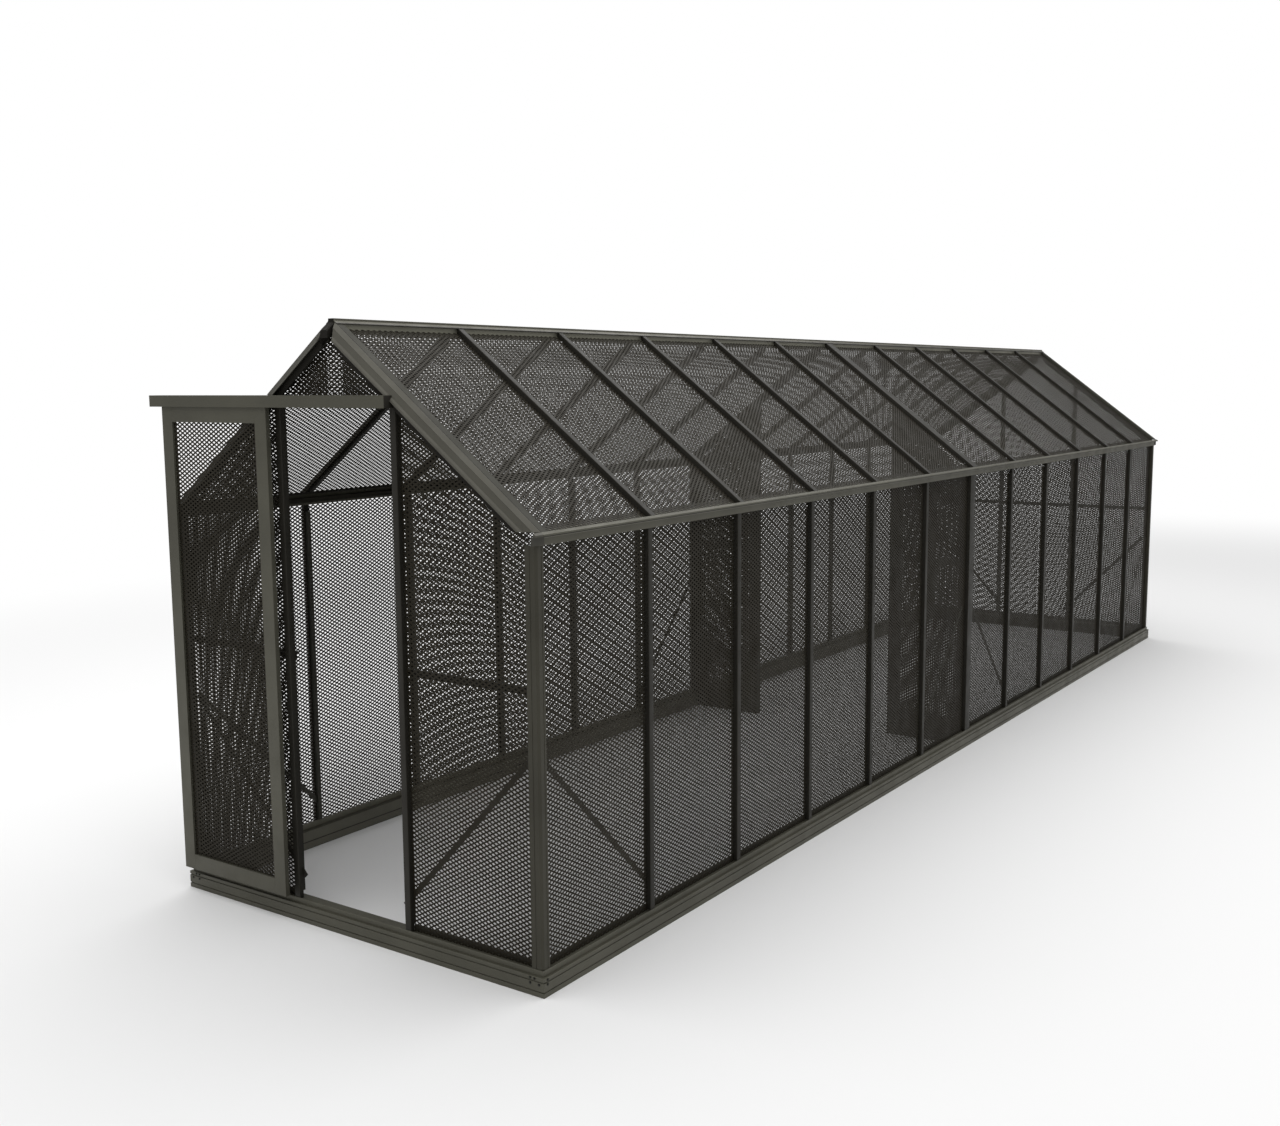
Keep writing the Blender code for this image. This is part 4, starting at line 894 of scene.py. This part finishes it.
@dataclass(frozen=True)
class GableEdges:
    """What closes both gables at the roof: covers and seals on the rafters, caps at the eaves whose dark
    colour is painted shade, and caps at the ridge.

    Outlines on a rafter are pairs: the distance out of the slope, and how far before the rafter's face. Those
    of the eave's caps, the ridge's caps and its keys are distances from the middle, and heights.
    """

    sizes: HouseSizes
    rafter_y: float = 0.0215
    front_reach: float = 0.0375
    back_reach: float = 0.0205
    reach_behind_leaf: float = 0.0310
    ridge_edge: float = 0.0176
    ridge_slant: float = 0.53
    foot_height: float = 1.5377
    track_low: float = 1.9212
    track_high: float = 1.9672
    track_end: float = 0.3070
    edge_low: float = -0.0418
    web_low: float = -0.0620
    web_reach: float = 0.0200
    seam: Corners = ((-0.0006, -0.0012), (0.0004, -0.0012), (0.0004, -0.0042), (-0.0006, -0.0042))
    lip: Span = (0.0002, 0.012)
    lip_thick: float = 0.006
    lip_back: float = -0.0024
    eave_cap: Corners = ((0.8990, 1.4958), (0.9064, 1.4958), (0.9064, 1.5228), (0.8990, 1.5228))
    eave_cap_back: float = -0.0230
    eave_cap_inset: float = 0.0008
    ridge_cap: Corners = ((0.0168, -0.0470), (0.0168, -0.0135), (0.0112, -0.0095), (0.0100, 0.0004))
    ridge_cap_run: Span = (0.0002, 0.0045)
    key_back: tuple[float, float, float] = (0.0046, -0.0640, -0.0165)
    key_inset: float = 0.0010
    key_front: Span = (-0.0670, -0.0440)
    key_half: float = 0.0172
    key_top_half: float = 0.0110
    key_crown: float = 0.004

    def at(self, rafter: Rafter, out: float, before: float, up: float) -> Vector:
        """Finds a point on a rafter.

        Args:
            rafter: the rafter.
            out: the distance out of the slope.
            before: the distance before the rafter's face.
            up: the distance up the slope from the eave's edge.

        Returns:
            The point in the frame.
        """
        depth = self.rafter_y - before
        return self.sizes.on_slope(rafter.hand, up, out, self.sizes.length - depth if rafter.back else depth)

    def level(self, height: float) -> Limit:
        """Ends a run at a height."""
        pitch = self.sizes.pitch
        return lambda out, before: (height - self.sizes.eave_height - out * math.cos(pitch)) / math.sin(pitch)

    def upright(self, across: float, slant: float = 0.0) -> Limit:
        """Ends a run at a distance from the middle, which may grow towards the front edge."""
        room, pitch = self.sizes.half_width - across, self.sizes.pitch
        return lambda out, before: (room + out * math.sin(pitch) - slant * max(before, 0)) / math.cos(pitch)

    def run(self, rafter: Rafter, outline: Corners, low: Limit, high: Limit) -> Placed:
        """Runs an outline up a rafter between two limits."""
        return solid(*([self.at(rafter, out, before, limit(out, before)) for out, before in outline]
                       for limit in (low, high)))

    def cover(self, reach: float) -> Corners:
        """Draws the cover: two leaning faces with a line between them, a bead and a narrow front edge.

        Args:
            reach: how far it stands before the rafter's face.

        Returns:
            The outline on a rafter.
        """
        low, share = self.edge_low, reach / self.front_reach
        return ((0.0005, -0.0010), (0.0005, 0.0), (-0.0100, 0.0186 * share), (-0.0112, 0.0184 * share),
                (-0.0300, 0.0278 * share), (-0.0355, 0.0345 * share), (low + 0.0012, reach),
                (low, reach - 0.0006), (low, reach - 0.0035), (-0.0320, 0.0278 * share - 0.0020),
                (-0.0030, -0.0010))

    def seal(self, reach: float) -> Corners:
        """Draws the black seal that fills the cover's hollow and hangs below it as a web.

        Args:
            reach: how far the cover stands before the rafter's face.

        Returns:
            The outline on a rafter.
        """
        low, share = self.edge_low, reach / self.front_reach
        web = self.web_reach * share
        return ((-0.0035, -0.0002), (-0.0320, 0.0278 * share - 0.0024), (low + 0.0015, reach - 0.0040),
                (low + 0.0015, web + 0.003), (self.web_low, web + 0.002), (self.web_low, web),
                (low - 0.002, web - 0.002), (-0.0460, -0.0002))

    def reach(self, rafter: Rafter) -> float:
        """How far a cover's foot stands before the rafter: less at the back, and where the leaf passes."""
        front = self.reach_behind_leaf if rafter.hand is Hand.LEFT else self.front_reach
        return self.back_reach if rafter.back else front

    def runs(self, rafter: Rafter, whole: bool) -> list[tuple[float, Limit, Limit]]:
        """Lists the parts of a run up a rafter, which keeps clear of the door's leaf and track.

        Args:
            rafter: the rafter.
            whole: whether the run on the right stands over the track's end, and is one part.

        Returns:
            The reach, the lower limit and the upper limit of each part.
        """
        foot, ridge = self.level(self.foot_height), self.upright(self.ridge_edge, self.ridge_slant)
        if rafter.back or (rafter.hand is Hand.RIGHT and whole):
            return [(self.reach(rafter), foot, ridge)]
        below = self.level(self.track_low) if rafter.hand is Hand.LEFT else self.upright(self.track_end)
        return [(self.reach(rafter), foot, below), (self.front_reach, self.level(self.track_high), ridge)]

    def across(self, back: bool, before: float, outline: list[Span], level: float = 0.0) -> list[Vector]:
        """Stands an outline up across the house, so far before the rafters' faces and over a level."""
        y = self.at(Rafter(Hand.RIGHT, back), 0.0, before, 0.0).y
        return [Vector((self.sizes.shift_x + x, y, level + height)) for x, height in outline]

    def lying(self, back: bool, limits: Span, outline: list[Span], level: float = 0.0) -> Placed:
        """Runs an outline along the house between two distances before the rafters' faces."""
        return solid(*(self.across(back, before, outline, level) for before in limits))

    def nose(self, rafter: Rafter) -> Placed:
        """Runs the eave's lip on below the cover's foot.

        Args:
            rafter: the rafter.

        Returns:
            The solid.
        """
        edge, top = (self.at(rafter, 0.0, 0.0, up) for up in self.lip)
        edge_x, top_x, low = edge.x - self.sizes.shift_x, top.x - self.sizes.shift_x, edge.z - self.lip_thick
        outline = [(edge_x, edge.z), (top_x, top.z), (top_x, low), (edge_x, low)]
        return self.lying(rafter.back, (self.lip_back, self.reach(rafter)), outline)

    def eave_end(self, rafter: Rafter) -> Placed:
        """Closes the eave beam's end below the lip, with a dark plate that paints the shade there."""
        limits = (self.eave_cap_back, self.reach(rafter) - self.eave_cap_inset)
        return self.lying(rafter.back, limits, [(rafter.hand.value * x, z) for x, z in self.eave_cap])

    def ridge_end(self, back: bool) -> Placed:
        """Closes one end of the ridge."""
        outline = [*self.ridge_cap, *((-x, z) for x, z in reversed(self.ridge_cap))]
        return self.lying(back, self.ridge_cap_run, outline, self.sizes.ridge_height)

    def ridge_key(self, back: bool) -> Placed:
        """Fills the place between the two covers' upper ends.

        Args:
            back: whether it is the back gable.

        Returns:
            The solid.
        """
        front = self.reach(Rafter(Hand.RIGHT, back)) - self.key_inset
        rings = []
        for before, low, high in (self.key_back, (front, *self.key_front)):
            half = [(self.key_half, low), (self.key_half, high), (self.key_top_half, high + self.key_crown)]
            outline = [*half, *((-x, z) for x, z in reversed(half))]
            rings.append(self.across(back, before, outline, self.sizes.ridge_height))
        return solid(*rings)

    def build(self) -> None:
        """Makes the covers, the seals in them, and the caps."""
        covers, seals, caps = [], [], []
        for back in (False, True):
            for rafter in (Rafter(hand, back) for hand in Hand):
                for reach, low, high in self.runs(rafter, True):
                    covers.append(self.run(rafter, self.cover(reach), low, high))
                    seals.append(self.run(rafter, self.seam, low, high))
                for reach, low, high in self.runs(rafter, False):
                    seals.append(self.run(rafter, self.seal(reach), low, high))
                covers.append(self.nose(rafter))
                caps.append(self.eave_end(rafter))
            seals += [self.ridge_end(back), self.ridge_key(back)]
        gathered("rafter_covers", covers, COVER_COAT)
        gathered("rafter_seals", seals, SEAL_COAT)
        gathered("eave_caps", caps, EAVE_CAP_SHADE_COAT)


@dataclass(frozen=True)
class RailLiners:
    """Strips that close the open backs of the long base rails, and line their upstands; their coat is painted
    lighter as light.

    An outline's corners are the depth behind the wall bars' outer plane, and the height.
    """

    sizes: HouseSizes
    outer_plane: float = 0.900
    body: Corners = ((0.0503, 0.0030), (0.0525, 0.0030), (0.0525, 0.0310), (0.0511, 0.0316), (0.0511, 0.0354),
                     (0.0525, 0.0360), (0.0525, 0.0790), (0.0503, 0.0790))
    upstand: Corners = ((0.0259, 0.0816), (0.0271, 0.0816), (0.0271, 0.1068), (0.0259, 0.1068))
    end_room: float = 0.056
    middle_room: float = 0.024

    def build(self) -> None:
        """Makes the strips of both sides, in two lengths with the partition between them."""
        sizes, parts = self.sizes, []
        spans = ((self.end_room, sizes.middle - self.middle_room),
                 (sizes.middle + self.middle_room, sizes.length - self.end_room))
        for hand in Hand:
            for outline in (self.body, self.upstand):
                for span in spans:
                    parts.append(solid(*([sizes.spot(hand.value * (self.outer_plane - depth), y, z)
                                          for depth, z in outline] for y in span)))
        gathered("rail_liners", parts, LINER_LIGHT_AND_SHADE_COAT)


@dataclass(frozen=True)
class TrackCaps:
    """Black plates that close the track's ends."""

    thick: float = 0.0012
    inset: float = 0.0006
    inside_left: float = 0.0004
    off_right: float = 0.0001

    def build(self) -> None:
        """Makes the plate on the right end, and the one just inside the left end."""
        low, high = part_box("door_track")
        near, away = low.y + self.inset, high.y - self.inset
        foot, top = low.z + self.inset, high.z - self.inset
        corners = [(near, foot), (away, foot), (away, top), (near, top)]
        parts = []
        for x in (low.x + self.inside_left, high.x + self.off_right):
            parts.append(solid(*([Vector((at, y, z)) for y, z in corners] for at in (x, x + self.thick))))
        gathered("track_caps", parts, DARK_COAT)


@dataclass(frozen=True)
class Bolts:
    """Small bolts with washers where the base rails meet at the corners."""

    sizes: HouseSizes
    head: float = 0.0034
    head_height: float = 0.0022
    washer: float = 0.0048
    washer_height: float = 0.0008
    half_width: float = 0.910
    on_front: Corners = ((0.8515, 0.0610), (0.8515, 0.0430), (0.8700, 0.0610), (0.8890, 0.0430))
    on_side: Corners = ((0.0200, 0.0600), (0.0200, 0.0440))

    def tree(self) -> NodeTree:
        """Builds the tree that sets a hexagon head on a washer at each point of a seed mesh.

        Returns:
            The tree, with the sizes as inputs; a bolt points along -Y.
        """
        maker = PatternTree("bolts", ("Head", "Head Height", "Washer", "Washer Height"))
        given = maker.given
        joined = maker.node("GeometryNodeJoinGeometry")
        for name, sides, below in (("Washer", 20, 0.0), ("Head", 6, given["Washer Height"])):
            depth = given[f"{name} Height"]
            values = {"Vertices": sides, "Radius": given[name], "Depth": depth}
            disc = maker.node("GeometryNodeMeshCylinder", values).outputs["Mesh"]
            lift = maker.math("ADD", maker.math("MULTIPLY", depth, 0.5), below)
            moved = maker.node("GeometryNodeTransform", {
                "Geometry": disc, "Translation": maker.vector(0.0, 0.0, lift)})
            maker.feed(joined, {"Geometry": moved.outputs["Geometry"]})
        placed = maker.node("GeometryNodeInstanceOnPoints", {
            "Points": given["Geometry"], "Instance": joined.outputs["Geometry"],
            "Rotation": (math.pi / 2, 0.0, 0.0)})
        return maker.finish(placed.outputs["Instances"])

    def build(self) -> None:
        """Sets bolts on the front at both corners, and on both sides at their four ends."""
        sizes, tree, rows = self.sizes, self.tree(), []
        front = [(side * x, z) for side in (-1, 1) for x, z in self.on_front]
        ends = [*self.on_side, *((sizes.length - y, z) for y, z in self.on_side)]
        faces = [(sizes.spot(0, 0, 0), Vector((1, 0, 0)), front)]
        for hand in Hand:
            corner = sizes.spot(hand.value * self.half_width, 0, 0)
            faces.append((corner, Vector((0, hand.value, 0)), [(hand.value * y, z) for y, z in ends]))
        values = {"Head": self.head, "Head Height": self.head_height, "Washer": self.washer,
                  "Washer Height": self.washer_height}
        for corner, along, places in faces:
            seed = bpy.data.meshes.new("bolt_places")
            seed.from_pydata([(t, 0.0, z) for t, z in places], [], [])
            rows.append((grown(tree, SCREW_COAT, values, seed), facing(corner, along, UP)))
        gathered("corner_bolts", rows, SCREW_COAT)


@dataclass(frozen=True)
class FrameDressing:
    """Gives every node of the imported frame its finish."""

    by_name: tuple[tuple[str, Coating], ...] = (("side_rail", RAIL_SHADE_COAT), ("base_rail", RAIL_SHADE_COAT),
                                                ("gable_rafter", FLANGE_SHADE_COAT), ("corner_post", POST_SHADE_COAT),
                                                ("ridge_beam", RIDGE_LIGHT_AND_SHADE_COAT), ("eave_beam", EAVE_HIGHLIGHT_AND_SHADE_COAT))

    def build(self) -> None:
        """Puts each slot's coating on its nodes, or the special one that a node's name asks for."""
        for row in frame["record"]["subparts"]:
            node = frame["nodes"][row["node"]]
            coat = COATS[Slot(row["material_slot"])]
            for start, special in self.by_name:
                if row["node"].startswith(start):
                    coat = special
            node.data.materials.clear()
            node.data.materials.append(coat.material())
            LOG.info("%s: %s", row["node"], coat.name)


@dataclass(frozen=True)
class Studio:
    """A pale floor that fades into a white background, soft light from above, and the camera."""

    floor_colour: Colour = (0.80, 0.80, 0.80)
    floor_roughness: float = 0.9
    floor_specular: float = 0.1
    floor_half: float = 60.0
    floor_level: float = -0.0004
    fade_shape: Colour = (1.0, 0.62, 0.0)
    fade: Span = (3.5, 9.0)
    world_strength: float = 0.50
    lamp_power: float = 1120.0
    lamp_size: Span = (14.0, 17.6)
    lamp_at: tuple[float, float, float] = (-0.6, -0.8, 7.0)
    camera_at: tuple[float, float, float] = (3.599, -7.030, 2.006)
    yaw: float = 34.677
    tilt: float = -7.613
    roll: float = -0.416
    lens: float = 38.25
    sensor: float = 36.0
    clip_end: float = 300.0

    def floor(self) -> None:
        """Makes the floor, whose far part is seen as the white background."""
        half, level = self.floor_half, self.floor_level
        mesh = bpy.data.meshes.new("studio_floor")
        corners = [(x * half, y * half, level) for x, y in ((-1, -1), (1, -1), (1, 1), (-1, 1))]
        mesh.from_pydata(corners, [], [(0, 1, 2, 3)])
        made = bpy.data.objects.new("studio_floor", mesh)
        bpy.context.scene.collection.objects.link(made)
        material = bpy.data.materials.new("studio_floor")
        material.use_nodes = True
        sketch = NodeSketch(material.node_tree)
        shader = material.node_tree.nodes["Principled BSDF"]
        sketch.feed(shader, {"Base Color": (*self.floor_colour, 1.0), "Roughness": self.floor_roughness,
                             "Specular IOR Level": self.floor_specular})
        mapping = sketch.node("ShaderNodeMapping", {"Scale": self.fade_shape, "Vector": sketch.place()})
        distance = sketch.node("ShaderNodeVectorMath", {0: mapping.outputs["Vector"]}, operation="LENGTH")
        fade = sketch.ramp(distance.outputs["Value"], self.fade, (0.0, 1.0), interpolation_type="SMOOTHSTEP")
        seen = sketch.node("ShaderNodeLightPath").outputs["Is Camera Ray"]
        mix = sketch.node("ShaderNodeMixShader", {
            0: sketch.math("MULTIPLY", fade, seen), 1: shader.outputs["BSDF"],
            2: sketch.node("ShaderNodeEmission").outputs["Emission"]})
        sketch.feed(material.node_tree.nodes["Material Output"], {"Surface": mix.outputs["Shader"]})
        mesh.materials.append(material)

    def world(self) -> None:
        """Makes a world that is white where the camera sees it and lights the house softly."""
        world = bpy.data.worlds.new("studio_world")
        bpy.context.scene.world = world
        world.use_nodes = True
        sketch = NodeSketch(world.node_tree)
        light = world.node_tree.nodes["Background"]
        sketch.feed(light, {"Color": WHITE, "Strength": self.world_strength})
        white = sketch.node("ShaderNodeBackground", {"Color": WHITE})
        seen = sketch.node("ShaderNodeLightPath").outputs
        direct = sketch.math("MAXIMUM", seen["Is Camera Ray"], seen["Is Transmission Ray"])
        mix = sketch.node("ShaderNodeMixShader", {0: direct, 1: light.outputs["Background"],
                                                  2: white.outputs["Background"]})
        sketch.feed(world.node_tree.nodes["World Output"], {"Surface": mix.outputs["Shader"]})

    def lamp(self) -> None:
        """Hangs one large soft lamp over the house."""
        data = bpy.data.lights.new("overhead_softbox", "AREA")
        data.shape = "RECTANGLE"
        data.size, data.size_y = self.lamp_size
        data.energy = self.lamp_power
        made = bpy.data.objects.new("overhead_softbox", data)
        made.location = self.lamp_at
        bpy.context.scene.collection.objects.link(made)

    def camera(self) -> None:
        """Stands the camera where the photograph was taken."""
        data = bpy.data.cameras.new("photo_view")
        data.lens = self.lens
        data.sensor_width = self.sensor
        data.clip_end = self.clip_end
        yaw, tilt, roll = (math.radians(angle) for angle in (self.yaw, self.tilt, self.roll))
        ahead = Vector((-math.sin(yaw) * math.cos(tilt), math.cos(yaw) * math.cos(tilt), math.sin(tilt)))
        level = Vector((math.cos(yaw), math.sin(yaw), 0.0))
        upright = level.cross(ahead)
        right = math.cos(roll) * level + math.sin(roll) * upright
        up = -math.sin(roll) * level + math.cos(roll) * upright
        turned = Matrix((right, up, -ahead)).transposed().to_4x4()
        made = bpy.data.objects.new("photo_view", data)
        made.matrix_world = Matrix.Translation(self.camera_at) @ turned
        bpy.context.scene.collection.objects.link(made)
        bpy.context.scene.camera = made

    def build(self) -> None:
        """Makes the floor, the lights and the camera."""
        self.floor()
        self.world()
        self.lamp()
        self.camera()
        bpy.context.scene.view_settings.view_transform = "Standard"


def main() -> None:
    """Builds the studio and every piece in order."""
    logging.basicConfig(level=logging.INFO, format="%(name)s %(message)s")
    sizes = HouseSizes()
    weave = DiamondMesh()
    for part in (Studio(), FrameDressing(), BarCaps(sizes), LongWalls(sizes, weave), RoofSlopes(sizes, weave),
                 Gables(sizes, weave), Partition(sizes, weave), DoorLeaf(weave), GableEdges(sizes),
                 RailLiners(sizes), TrackCaps(), Bolts(sizes)):
        part.build()


if __name__ == "__main__":
    main()
